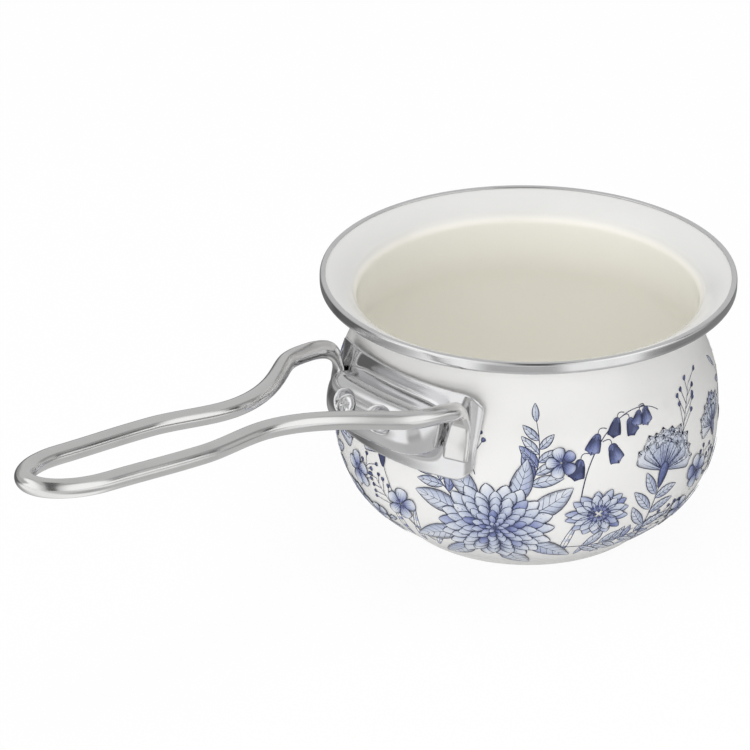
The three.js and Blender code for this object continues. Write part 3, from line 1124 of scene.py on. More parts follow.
@dataclass
class HandleRod:
    """Handle bent from one round rod: a long loop whose two ends are pressed flat on the bracket."""

    bracket: HandleBracket
    diameter: float = 7.5
    leg_spacing: float = 71.0
    flat_width: float = 10.5
    flat_thickness: float = 3.4
    flat_bottom: float = 63.2
    flat_top: float = 78.2
    weld: float = 0.3
    standoff: float = 1.4
    bend_radius: float = 6.0
    loop_height: float = 86.6
    loop_rise: float = 6.0
    shoulder_width: float = 77.4
    shoulder_out: float = 12.0
    bend_out: float = 28.0
    bend_soft: float = 7.0
    waist_power: float = 1.92
    waist_width: float = 22.6
    waist_out: float = 82.0
    grip_width: float = 31.2
    grip_out: float = 118.0
    grip_run: float = 6.0
    tip_width: float = 29.2
    tip_length: float = 26.0
    reach: float = 265.4
    softening: float = 1.6
    end_round: float = 0.5
    leg_from: float = 10.0
    leg_to: float = 38.0
    sides: int = 40
    stations: int = 420
    bend_steps: int = 40
    run_steps: int = 300
    fine_steps: int = 1200

    def __post_init__(self) -> None:
        """Works out where the legs stand, which way they face and where the tip starts."""
        beside = self.leg_spacing / 2.0 + np.array([-1.0, 1.0])
        reach = self.bracket.plate_reach(beside, np.full(2, self.flat_top))
        self.leg_turn = math.atan2(reach[0] - reach[1], 2.0)
        self.leg_reach = float(self.seat_reach(np.array([self.flat_top]))[0])
        self.tip_start = self.reach - self.diameter / 2.0 - self.tip_length - self.leg_reach

    def seat_reach(self, height: Array) -> Array:
        """Distance of a flat's middle from the pan's axis plane, where it lies on the bracket's wing."""
        plate = self.bracket.plate_reach(np.full_like(height, self.leg_spacing / 2.0), height)
        return plate + (self.weld + self.flat_thickness / 2.0) / math.cos(self.leg_turn)

    def half_width(self, out: Array) -> Array:
        """Half the distance between the two runs.

        From the shoulders it narrows to the waist as a power of the way left, then widens to the grip and
        narrows a little to the tip, on smooth ramps.

        Args:
            out: Distances outward from the legs.

        Returns:
            Half widths.
        """
        past = out - self.bend_out
        eased = (past + np.hypot(past, self.bend_soft)) / 2.0
        share = np.clip(eased / (self.waist_out - self.bend_out), 0.0, 1.0)
        narrowing = (self.shoulder_width - self.waist_width) * (1.0 - share) ** self.waist_power
        width = self.waist_width + narrowing
        for start, end, wanted in (
            (self.waist_out, self.grip_out, self.grip_width),
            (self.grip_out + self.grip_run, self.tip_start, self.tip_width),
        ):
            width = width + (wanted - width) * smoothstep(start, end, out)
        return width / 2.0

    def half_path(self) -> Array:
        """Middle line from the foot of the leg at +X to the tip: the flat, a round bend, the run and the tip.

        Returns:
            Points at equal steps, of shape (points, 3).
        """
        foot = np.linspace(self.flat_bottom, self.flat_top, self.bend_steps)
        flat = np.stack([np.full_like(foot, self.leg_spacing / 2.0), -self.seat_reach(foot), foot], axis=-1)
        turn = np.linspace(0.0, math.pi / 2.0, self.bend_steps)
        away = self.standoff + self.bend_radius * (1.0 - np.cos(turn))
        bend = np.stack([
            self.leg_spacing / 2.0 + away * math.sin(self.leg_turn),
            -self.leg_reach - away * math.cos(self.leg_turn),
            self.loop_height - self.bend_radius * (1.0 - np.sin(turn)),
        ], axis=-1)
        out = np.concatenate([
            np.linspace(self.shoulder_out, self.tip_start, self.run_steps),
            self.tip_start + self.tip_length * np.sin(turn[1:]),
        ])
        half = np.concatenate([
            self.half_width(out[:self.run_steps]), self.tip_width / 2.0 * np.cos(turn[1:]),
        ])
        climb = self.loop_height + math.tan(math.radians(self.loop_rise)) * out
        run = np.stack([half, -(self.leg_reach + out), climb], axis=-1)
        return even_steps(np.concatenate([flat, bend, run]), self.fine_steps)

    def path(self) -> Array:
        """Middle line of the whole rod, from the foot at +X round the tip to the foot at -X.

        Returns:
            Points at equal steps, with the kinks smoothed out.
        """
        half = self.half_path()
        whole = np.concatenate([half, half[-2::-1] * [-1.0, 1.0, 1.0]])
        step = lengths_along(whole)[-1] / (len(whole) - 1)
        return even_steps(blurred(whole, self.softening / step, 0), 2 * self.stations)

    def section_axes(self, path: Array) -> tuple[Array, Array]:
        """Directions across and through the rod at each point of its path.

        On the loop the width lies level. Towards the feet it turns to lie along the bracket's wing.

        Args:
            path: Middle line of the rod.

        Returns:
            Unit vectors across and through the rod.
        """
        along = unit(np.gradient(path, axis=0))
        on_leg = 1.0 - smoothstep(self.leg_from, self.leg_to, -path[:, 1] - self.leg_reach)
        side = np.sign(path[:, :1])
        inward = np.concatenate([
            -side * math.sin(self.leg_turn), np.full_like(side, math.cos(self.leg_turn)), np.zeros_like(side),
        ], axis=1)
        facing = np.array([0.0, 0.0, 1.0]) + inward * on_leg[:, None]
        width = unit(np.cross(facing, along))
        return width, np.cross(along, width)

    def section_sizes(self, path: Array) -> tuple[Array, Array]:
        """Half the rod's width and thickness at each point of its path, with its two ends rounded off.

        Args:
            path: Middle line of the rod.

        Returns:
            Half widths and half thicknesses.
        """
        height = path[:, 2]
        near_pan = -path[:, 1] < self.leg_reach + self.leg_from
        flat = (1.0 - smoothstep(self.flat_top + 0.5, self.loop_height + 0.5, height)) * near_pan
        spread = (1.0 - smoothstep(self.flat_bottom + 1.0, self.loop_height - 1.0, height)) * near_pan
        across = (self.diameter + (self.flat_width - self.diameter) * spread) / 2.0
        through = (self.diameter + (self.flat_thickness - self.diameter) * flat) / 2.0
        from_end = np.minimum(lengths_along(path), lengths_along(path[::-1])[::-1])
        rounded = np.sqrt(1.0 - (1.0 - np.clip(from_end / self.end_round, 0.0, 1.0)) ** 2)
        cut = self.end_round * (1.0 - rounded)
        return across - cut, through - cut

    def build(self, steel: Steel) -> None:
        """Sweeps the section along the path and dresses the rod.

        The section is a circle along the loop. At the feet it is two half circles with a flat between them.

        Args:
            steel: Finish.
        """
        path = self.path()
        width, depth = self.section_axes(path)
        across, through = self.section_sizes(path)
        turn = circle_steps(self.sides, 0.5)
        straight = np.maximum(across - through, 0.0)[:, None] * np.sign(np.cos(turn))
        wide = straight + through[:, None] * np.cos(turn)
        deep = through[:, None] * np.sin(turn)
        rings = path[:, None] + width[:, None] * wide[..., None] + depth[:, None] * deep[..., None]
        run = lengths_along(path)
        around = self.diameter / 2.0 * spokes(turn)
        grain = np.stack(np.broadcast_arrays(run[:, None], *around.T), axis=-1)
        grain = np.concatenate([grain.reshape(-1, 3), [[0.0, 0.0, 0.0], [run[-1], 0.0, 0.0]]])
        skin = Skin(*capped(rings, path[[0, -1]]), grain)
        add_piece("rod", skin, steel.material(), ["handle_rod"])


def tubes(rings: Array) -> tuple[Array, Array]:
    """Faces of many closed tubes with flat ends.

    Args:
        rings: Points of shape (tubes, stations, points round, axes), each ring turning left along its tube.

    Returns:
        The quads of the sides and the triangles of the ends.
    """
    count, stations, around = rings.shape[:3]
    starts = (np.arange(count) * stations * around)[:, None, None]
    sides = grid_quads(stations, around, wrap_columns=True)[None] + starts
    fan = np.stack([np.zeros(around - 2, int), np.arange(1, around - 1), np.arange(2, around)], axis=1)
    ends = np.concatenate([fan[:, ::-1], fan + (stations - 1) * around])[None] + starts
    return sides.reshape(-1, 4), ends.reshape(-1, 3)


class Form(Enum):
    """Outlines of petals and leaves: the width at a share t of the length is t^a (1 - t^b)^c."""

    LANCE = (0.8, 1.0, 1.0)
    POINTED = (0.75, 1.8, 0.8)
    ROUNDED = (0.6, 4.0, 0.5)
    FANNED = (0.9, 14.0, 0.25)
    BELL = (0.4, 30.0, 0.12)

    def width(self, share: Array) -> Array:
        """Width of the form, with a largest width of 1.

        Args:
            share: Shares of the length.

        Returns:
            Widths of the same shape.
        """
        rise, bend, fall = self.value
        fine = np.linspace(0.0, 1.0, 201)
        most = (fine**rise * (1.0 - fine**bend) ** fall).max()
        return share**rise * (1.0 - share**bend) ** fall / most


@dataclass
class Petals:
    """Flat petals or leaves of one form: each grows from its base along an arc."""

    base: Array
    heading: Array
    length: Array
    width: Array
    bend: Array
    tone: Array
    form: Form
    fringe: float = 0.0
    squash: float = 1.0

    def place(self, share: Array, across: Array) -> Array:
        """Points of the petals: along the arc to a share of its length, then sideways by the form's width.

        Args:
            share: Shares of the length, broadcast against across.
            across: Places from -1 at the right edge to 1 at the left one.

        Returns:
            Points of shape (petals, ..., 2).
        """
        lead = (slice(None),) + (None,) * np.broadcast(share, across).ndim
        heading, length = self.heading[lead], self.length[lead]
        bend = np.where(np.abs(self.bend) < 1e-3, 1e-3, self.bend)[lead]
        reach = share * (1.0 - self.fringe * np.sin(2.5 * math.pi * across) ** 2)
        turn = heading + bend * reach
        half = self.width[lead] / 2.0 * (0.02 + 0.98 * self.form.width(share)) * across
        x = length / bend * (np.sin(turn) - np.sin(heading)) - np.sin(turn) * half
        y = length / bend * (np.cos(heading) - np.cos(turn)) + np.cos(turn) * half
        origin = self.base[lead + (slice(None),)]
        return origin + np.stack(np.broadcast_arrays(x, y * self.squash), axis=-1)


@dataclass(frozen=True)
class Shading:
    """Shading lines on a petal: their number, how far across they spread, their start and their ends."""

    count: int
    across: float
    start: float
    end: float
    end_spread: float


class Sketch:
    """A drawing in ink on a flat sheet, in layers: films of wash and the lines on them."""

    step = 0.012
    lowest = 0.03
    film = 0.01
    bedded = 0.002

    def __init__(self) -> None:
        """Starts an empty drawing."""
        self.layer = 0
        self.washes: list[tuple[Array, Array, Array]] = []
        self.lines: list[tuple[Array, Array, Array]] = []

    def lift(self) -> float:
        """Height of the current layer above the enamel."""
        return self.lowest + self.step * self.layer

    def wash(self, petals: Petals, depth: float, shade: float) -> None:
        """Fills petals with a wash that is fuller at the base and on one half.

        Args:
            petals: What is filled.
            depth: How much fuller the wash is at the base.
            shade: How much fuller it is on the right half.
        """
        across = np.concatenate([np.linspace(1.0, -1.0, 5), np.linspace(-0.5, 0.5, 3)])
        share = (1.0 - np.cos(np.linspace(0.0, math.pi, 9))) / 2.0
        flat = petals.place(share[:, None], across[None])
        tone = depth * (1.0 - share[:, None]) ** 1.5 + shade * (across[None] < 0.0)
        tone = petals.tone[:, None, None] + tone
        raised = np.where((np.arange(8) > 0) & (np.arange(8) < 4), self.lift(), self.lift() - self.film)
        self.washes.append((flat, np.broadcast_to(raised, flat.shape[:3]), tone))

    def stroke(self, flat: Array, half_width: Array | float, tone: float) -> None:
        """Draws lines as thin ridges of ink.

        Args:
            flat: Points of shape (lines, stations, 2).
            half_width: Half the width of the lines, broadcast against their stations.
            tone: Fullness of the ink.
        """
        along = unit(np.gradient(flat, axis=1))
        left = np.stack([-along[..., 1], along[..., 0]], axis=-1)
        offset = left * np.broadcast_to(half_width, flat.shape[:2])[..., None]
        rings = np.stack([flat, flat - offset, flat + offset], axis=2)
        low = self.lift() - self.bedded
        raised = np.broadcast_to(np.array([low + self.film, low, low]), rings.shape[:3])
        self.lines.append((rings, raised, np.full(rings.shape[:3], tone)))

    def outline(self, petals: Petals, half_width: float, tone: float = 0.8) -> None:
        """Draws the edges of petals, finer at the base and the tip.

        Args:
            petals: What is outlined.
            half_width: Half the largest width of the lines.
            tone: Fullness of the ink.
        """
        share = (1.0 - np.cos(np.linspace(0.02, math.pi, 12))) / 2.0
        swell = half_width * (0.55 + 0.45 * np.sin(np.linspace(0.0, math.pi, 12)))
        for edge in (-1.0, 1.0):
            self.stroke(petals.place(share, np.full(12, edge)), swell, tone)
        if petals.form in (Form.FANNED, Form.BELL):
            across = np.linspace(-1.0, 1.0, 17)
            self.stroke(petals.place(np.ones(17), across), half_width, tone)

    def hatch(self, petals: Petals, places: Array, start: float, end: Array, half_width: float) -> None:
        """Draws shading lines along petals.

        Args:
            petals: What is shaded.
            places: Places of the lines across a petal.
            start: Share of the length where they start.
            end: Share of the length where each one ends.
            half_width: Half their width at the start.
        """
        for place, stop in zip(places, end):
            share = np.linspace(start, stop, 6)
            taper = half_width * (1.0 - 0.7 * np.linspace(0.0, 1.0, 6))
            self.stroke(petals.place(share, np.full(6, place)), taper, 0.62)

    def veins(self, leaves: Petals, pairs: int, half_width: float) -> None:
        """Draws a midrib and side veins on leaves.

        Args:
            leaves: What is drawn on.
            pairs: Number of pairs of side veins.
            half_width: Half the width of the lines.
        """
        share = np.linspace(0.0, 0.96, 10)
        self.stroke(leaves.place(share, np.zeros(10)), half_width * (1.2 - share), 0.8)
        for root in np.linspace(0.16, 0.72, pairs):
            for edge in (-1.0, 1.0):
                out = np.linspace(0.0, 1.0, 4)
                self.stroke(leaves.place(root + 0.16 * out, edge * 0.85 * out), half_width * 0.6, 0.55)

    def laid_on(
        self, profile: PanProfile, angle: float, origin: float,
    ) -> tuple[list[Skin], list[Skin]]:
        """Lays the drawing on the pan's wall.

        Args:
            profile: Profile of the wall.
            angle: Place of the drawing's middle round the pan.
            origin: Length along the profile of the drawing's middle.

        Returns:
            The skins of the washes and of the lines.
        """
        made = []
        for films in (self.washes, self.lines):
            skins = []
            for flat, lift, tone in films:
                points = profile.on_wall(angle, flat[..., 0], origin + flat[..., 1], lift)
                quads, ends = tubes(points)
                skins.append(Skin(points.reshape(-1, 3), quads, ends, tone=tone.ravel()))
            made.append(skins)
        return made[0], made[1]


class Bouquet(Sketch):
    """One repeat of the flower print, drawn with small chance variations."""

    fine = 0.165
    bold = 0.24

    def __init__(self, seed: int) -> None:
        """Starts an empty drawing with its own run of chance."""
        super().__init__()
        self.chance = np.random.default_rng(seed)

    def varied(self, count: int, middle: float, spread: float) -> Array:
        """Values spread evenly by chance about a middle."""
        return middle + self.chance.uniform(-spread, spread, count)

    def petals(
        self, base: Array, heading: Array, size: Pair, form: Form, tone: float,
        bend: float = 0.25, **more: float,
    ) -> Petals:
        """Petals of one size with small variations.

        Args:
            base: Points where they start.
            heading: Directions in radians.
            size: Length and width.
            form: Outline.
            tone: Fullness of the wash.
            bend: Largest bend to either side.
            more: Further fields of the petals.

        Returns:
            The petals.
        """
        count = len(heading)
        return Petals(
            base, heading + self.varied(count, 0.0, 0.06), self.varied(count, 1.0, 0.07) * size[0],
            self.varied(count, 1.0, 0.08) * size[1], self.varied(count, 0.0, bend),
            self.varied(count, tone, 0.06) + 0.3 * (self.chance.random(count) < 0.14), form, **more)

    def paint(
        self, petals: Petals, wash: Pair, edge: float = 0.0, shading: Shading | None = None,
    ) -> None:
        """Paints petals on a new layer.

        Args:
            petals: What is painted.
            wash: How much fuller the wash is at the base and on the right half.
            edge: Half the width of the lines round the edge, or 0 for none.
            shading: The shading lines, if any.
        """
        self.layer += 1
        self.wash(petals, *wash)
        if shading:
            places = np.linspace(-shading.across, shading.across, shading.count)
            ends = self.varied(shading.count, shading.end, shading.end_spread)
            self.hatch(petals, places, shading.start, ends, self.fine * 0.8)
        if edge:
            self.outline(petals, edge)

    def stem(self, points: Sequence[Pair], half_width: float) -> Array:
        """Draws a curved stem.

        Args:
            points: Control points of the stem.
            half_width: Half its width.

        Returns:
            Points along it.
        """
        line = bezier(points, 28)[None]
        self.stroke(line, half_width * np.linspace(1.1, 0.55, 28), 0.75)
        return line[0]

    def dahlia(self, centre: Pair, radius: float) -> None:
        """A full flower seen from the front: rings of pointed petals, the inner ones smaller and darker.

        Args:
            centre: Middle of the flower.
            radius: Its radius.
        """
        rings = (
            (18, 1.0, 0.5), (18, 0.86, 0.42), (16, 0.72, 0.33), (14, 0.57, 0.24), (11, 0.43, 0.14),
            (9, 0.3, 0.06), (6, 0.17, 0.0),
        )
        for i, (count, tip, root) in enumerate(rings):
            turn = circle_steps(count, 0.5 * (i % 2))
            base = np.array(centre) + radius * (root - 0.02) * spokes(turn, 0.9)
            width = 2.0 * math.pi * radius * (0.45 * root + 0.55 * tip) / count * 0.98
            size = (radius * (tip - root), width)
            ring = self.petals(base, turn, size, Form.POINTED, 0.03 + 0.06 * i, 0.2, squash=0.9)
            edge = self.fine if i else self.bold
            self.paint(ring, (0.7 - 0.04 * i, 0.08), edge, Shading(4, 0.55, 0.04, 0.5, 0.16))

    def carnation(self, foot: Pair, heading: float, size: float) -> None:
        """A frilled flower seen from the side, on a slim cup.

        Args:
            foot: Where the petals start.
            heading: Direction of the flower, in radians.
            size: Length of its petals.
        """
        self.layer += 1
        fans = ((9, 1.25, 1.0, 0.04), (7, 0.85, 0.86, 0.12), (5, 0.45, 0.66, 0.24))
        for count, spread, share, tone in fans:
            turn = heading + np.linspace(-spread, spread, count)
            base = np.tile(np.array(foot, float), (count, 1))
            petal = (size * share, size * 0.46)
            fan = self.petals(base, turn, petal, Form.FANNED, tone, 0.3, fringe=0.13)
            self.paint(fan, (0.5, 0.1), self.fine, Shading(4, 0.6, 0.15, 0.72, 0.14))
        base = (np.array(foot) - size * 0.42 * spokes(np.array(heading)))[None]
        cup = self.petals(base, np.array([heading]), (size * 0.6, size * 0.26), Form.ROUNDED, 0.7, 0.05)
        self.paint(cup, (0.2, 0.15), self.bold)

    def dots(self, centre: Pair, count: int, radius: float, squash: float, size: Pair, tone: float) -> None:
        """A ring of dots.

        Args:
            centre: Middle of the ring.
            count: Number of dots.
            radius: Radius of the ring.
            squash: Its height for its width.
            size: Length and width of a dot.
            tone: Fullness of the wash.
        """
        turn = circle_steps(count)
        base = np.array(centre) + radius * spokes(turn, squash)
        self.paint(self.petals(base, turn, size, Form.ROUNDED, tone), (0.0, 0.0))

    def blossom(self, centre: Pair, radius: float, turn: float) -> None:
        """A small open flower with five round petals and a dotted middle.

        Args:
            centre: Middle of the flower.
            radius: Length of its petals.
            turn: Direction of the first petal, in radians.
        """
        heading = turn + circle_steps(5)
        base = np.array(centre) + 0.08 * radius * spokes(heading)
        five = self.petals(base, heading, (radius, radius * 0.86), Form.ROUNDED, 0.08, 0.15)
        self.paint(five, (0.8, 0.1), self.fine, Shading(3, 0.4, 0.1, 0.6, 0.1))
        self.dots(centre, 7, 0.24 * radius, 1.0, (0.13 * radius, 0.12 * radius), 0.95)
        self.layer -= 1

    def aster(self, centre: Pair, radius: float) -> None:
        """An open flower with two rings of slim petals and a dark dotted middle.

        Args:
            centre: Middle of the flower.
            radius: Its radius.
        """
        for i, (count, share, tone) in enumerate(((15, 1.0, 0.3), (13, 0.8, 0.12))):
            turn = circle_steps(count, 0.5 * i)
            base = np.array(centre) + 0.16 * radius * spokes(turn, 0.8)
            size = (radius * share * 0.86, radius * 0.36)
            ring = self.petals(base, turn, size, Form.POINTED, tone, 0.25, squash=0.8)
            self.paint(ring, (0.45, 0.1), self.fine, Shading(3, 0.35, 0.1, 0.6, 0.12))
        for count, share, tone in ((14, 0.25, 0.95), (9, 0.15, 0.7), (4, 0.06, 0.9)):
            self.dots(centre, count, share * radius, 0.8, (0.13 * radius, 0.11 * radius), tone)

    def leaves(self, base: Array, heading: Array, size: Pair, tone: float, pairs: int) -> None:
        """Leaves with a darker half and veins.

        Args:
            base: Points where they start.
            heading: Directions in radians.
            size: Length and width.
            tone: Fullness of the wash.
            pairs: Number of pairs of side veins.
        """
        made = self.petals(base, heading, size, Form.LANCE, tone, 0.35)
        self.wash(made, 0.2, 0.16)
        self.veins(made, pairs, self.fine)
        self.outline(made, self.fine)

    def branch(self, points: Sequence[Pair], count: int, size: Pair, tone: float) -> None:
        """A stem with leaves on both sides and one at its end, smaller towards the end.

        Args:
            points: Control points of the stem.
            count: Leaves on each side.
            size: Length and width of the lowest leaves.
            tone: Fullness of the wash.
        """
        self.layer += 1
        line = self.stem(points, self.bold)
        ahead = unit(np.gradient(line, axis=0))
        heading = np.arctan2(ahead[:, 1], ahead[:, 0])
        for side in (-1.0, 1.0):
            for i in range(count):
                place = int(5 + (i + 0.25 * side) / count * 20)
                share = 1.0 - 0.45 * i / count
                turned_out = heading[place:place + 1] + side * 0.8
                self.leaves(line[place][None], turned_out, (size[0] * share, size[1] * share), tone, 3)
        self.leaves(line[-1:], heading[-1:], (size[0] * 0.6, size[1] * 0.55), tone, 2)

    def bells(self, points: Sequence[Pair], count: int, size: float) -> None:
        """An arching stem with a row of hanging bell flowers, smaller towards its end.

        Args:
            points: Control points of the stem.
            count: Number of bells.
            size: Length of the first bell.
        """
        self.layer += 1
        line = self.stem(points, self.bold)
        for i in range(count):
            start = line[int(7 + 19 * i / count)]
            side = 1.0 if i % 2 else -1.0
            grown = size * (1.0 - 0.4 * i / count)
            foot = start + np.array([side * grown * 0.55, -grown * 0.12])
            stalk = bezier([tuple(start), (foot[0], start[1] + 0.3 * grown), tuple(foot)], 8)
            self.stroke(stalk[None], self.fine, 0.75)
            hang = np.array([-math.pi / 2.0 + 0.3 * side])
            bell = self.petals(foot[None], hang, (grown, grown * 0.74), Form.BELL, 0.55, 0.1, fringe=0.16)
            self.paint(bell, (0.6, 0.2), self.fine, Shading(3, 0.5, 0.1, 0.75, 0.1))
            base = np.tile(foot + [0.0, 0.25], (3, 1))
            fan = hang + np.array([-0.7, 0.0, 0.7])
            self.wash(self.petals(base, fan, (grown * 0.34, grown * 0.16), Form.LANCE, 0.85), 0.0, 0.0)

    def blades(self, feet: Array, heading: Array, size: Pair, bend: float) -> None:
        """Long bent blades of grass, each with a line along its middle.

        Args:
            feet: Points where they start.
            heading: Directions in radians.
            size: Length and width.
            bend: How far they bend over, in radians.
        """
        made = self.petals(feet, heading, size, Form.LANCE, 0.08, 0.15)
        made.bend = made.bend + bend
        self.paint(made, (0.3, 0.25), self.fine)
        share = np.linspace(0.0, 0.9, 10)
        self.stroke(made.place(share, np.zeros(10)), self.fine * 0.6, 0.55)

    def spray(self, foot: Pair, heading: float, size: float, count: int) -> None:
        """A fine forked spray with a round bud at each end.

        Args:
            foot: Where the stem starts.
            heading: Its direction, in radians.
            size: Its length.
            count: Number of buds.
        """
        self.layer += 1
        ahead = spokes(np.array(heading))
        tip = np.array(foot) + size * ahead
        middle = (np.array(foot) + tip) / 2.0 + size * 0.1 * np.array([-ahead[1], ahead[0]])
        line = self.stem([foot, tuple(middle), tuple(tip)], self.fine)
        places = np.linspace(8, 27, count).astype(int)
        side = np.where(np.arange(count) % 2, 1.0, -1.0)
        turn = heading + side * self.varied(count, 0.65, 0.15)
        reach = size * self.varied(count, 0.3, 0.08) * np.linspace(1.2, 0.6, count)
        forks = line[places]
        ends = forks + reach[:, None] * spokes(turn)
        share = np.linspace(0.0, 1.0, 5)[None, :, None]
        self.stroke(forks[:, None] * (1.0 - share) + ends[:, None] * share, self.fine * 0.8, 0.7)
        buds = self.petals(ends, turn, (1.9, 1.7), Form.ROUNDED, 0.85, 0.1)
        self.wash(buds, 0.1, 0.1)
        self.outline(buds, self.fine * 0.8)

    def draw(self) -> Sketch:
        """Draws the whole bouquet, from what lies behind to what lies in front.

        Returns:
            The drawing.
        """
        feet = np.array([
            (-48.0, -36.0), (-42.0, -38.0), (-36.0, -38.0), (14.0, -36.0), (20.0, -38.0), (27.0, -39.0),
            (35.0, -38.0), (42.0, -38.0),
        ])
        fan = np.array([2.3, 2.0, 1.6, 1.5, 1.2, 0.9, 0.7, 0.45])
        self.blades(feet, fan, (26.0, 2.8), -0.5)
        self.branch([(-28.0, -4.0), (-40.0, 6.0), (-46.0, 24.0)], 4, (13.0, 5.0), 0.14)
        self.branch([(0.0, 2.0), (8.0, 14.0), (4.0, 32.0)], 4, (13.0, 5.0), 0.1)
        self.branch([(14.0, -28.0), (38.0, -32.0), (60.0, -24.0)], 6, (12.0, 4.4), 0.12)
        self.bells([(22.0, -8.0), (24.0, 28.0), (44.0, 38.0), (58.0, 28.0)], 7, 10.0)
        self.spray((-20.0, 8.0), 1.75, 24.0, 8)
        self.spray((72.0, 6.0), 1.3, 26.0, 9)
        self.spray((-52.0, -22.0), 2.4, 22.0, 8)
        self.spray((46.0, -28.0), 0.2, 24.0, 8)
        self.spray((80.0, -18.0), 0.9, 20.0, 7)
        self.stem([(46.0, -38.0), (54.0, -18.0), (60.0, -2.0)], self.bold)
        stalk = np.array([(51.0, -24.0), (54.0, -16.0), (57.0, -9.0)])
        for side in (-1.0, 1.0):
            self.leaves(stalk + [0.0, side], np.array([1.3, 1.25, 1.2]) + 0.85 * side, (13.0, 4.6), 0.12, 4)
        self.carnation((61.0, 2.0), 1.25, 19.0)
        self.stem([(-36.0, -34.0), (-56.0, -20.0), (-64.0, 2.0)], self.bold)
        self.carnation((-65.0, 6.0), 1.75, 14.0)
        self.branch([(58.0, -34.0), (74.0, -38.0), (90.0, -28.0)], 5, (11.0, 4.2), 0.14)
        around = np.array([0.5, 1.1, 2.1, 2.7, 3.5, 4.1, 5.0, 5.7])
        centre = (-12.0, -15.0)
        self.layer += 1
        self.leaves(np.array(centre) + 15.0 * spokes(around, 0.9), around, (22.0, 9.5), 0.14, 5)
        self.dahlia(centre, 24.0)
        self.aster((30.0, -10.0), 13.5)
        self.blossom((84.0, -8.0), 7.0, 0.4)
        self.blossom((73.0, -24.0), 6.5, 1.0)
        self.blossom((-54.0, -14.0), 7.0, 0.2)
        self.blossom((-68.0, -28.0), 6.0, 0.9)
        self.blossom((14.0, 15.0), 6.0, 0.6)
        return self


@dataclass
class FlowerPrint:
    """Blue flower print fired on the outside, three bouquets round the pan."""

    profile: PanProfile
    angles: tuple[float, ...] = (-45.0, 75.0, 195.0)
    middle_height: float = 47.0
    first_seed: int = 11

    def build(self, wash: PrintInk, line: PrintInk) -> None:
        """Draws the bouquets and lays each on the wall in two inks.

        Args:
            wash: Ink of the films.
            line: Ink of the lines.
        """
        washed, drawn = wash.material(), line.material()
        origin = self.profile.length_at(self.middle_height)
        for i, angle in enumerate(self.angles):
            bouquet = Bouquet(self.first_seed + i).draw()
            washes, lines = bouquet.laid_on(self.profile, math.radians(angle), origin)
            add_piece(f"print_washes_{i + 1}", Skin.joined(washes), washed)
            add_piece(f"print_lines_{i + 1}", Skin.joined(lines), drawn)


@dataclass(frozen=True)
class Softbox:
    """Soft rectangular lamp: its place, sides and aim in metres, and its power in watts."""

    name: str
    place: Triple
    size: Pair
    power: float
    aim: Triple = (0.0, 0.0, 0.05)

    def build(self) -> None:
        """Hangs the lamp so that it faces the pan, and leaves it out of reflections."""
        data = bpy.data.lights.new(self.name, "AREA")
        data.shape = "RECTANGLE"
        data.size, data.size_y = self.size
        data.energy = self.power
        made = bpy.data.objects.new(self.name, data)
        made.visible_glossy = False
        made.location = self.place
        x, y, z = np.array(self.aim) - np.array(self.place)
        made.rotation_euler = (math.atan2(math.hypot(x, y), -z), 0.0, math.atan2(-x, y))
        bpy.context.scene.collection.objects.link(made)


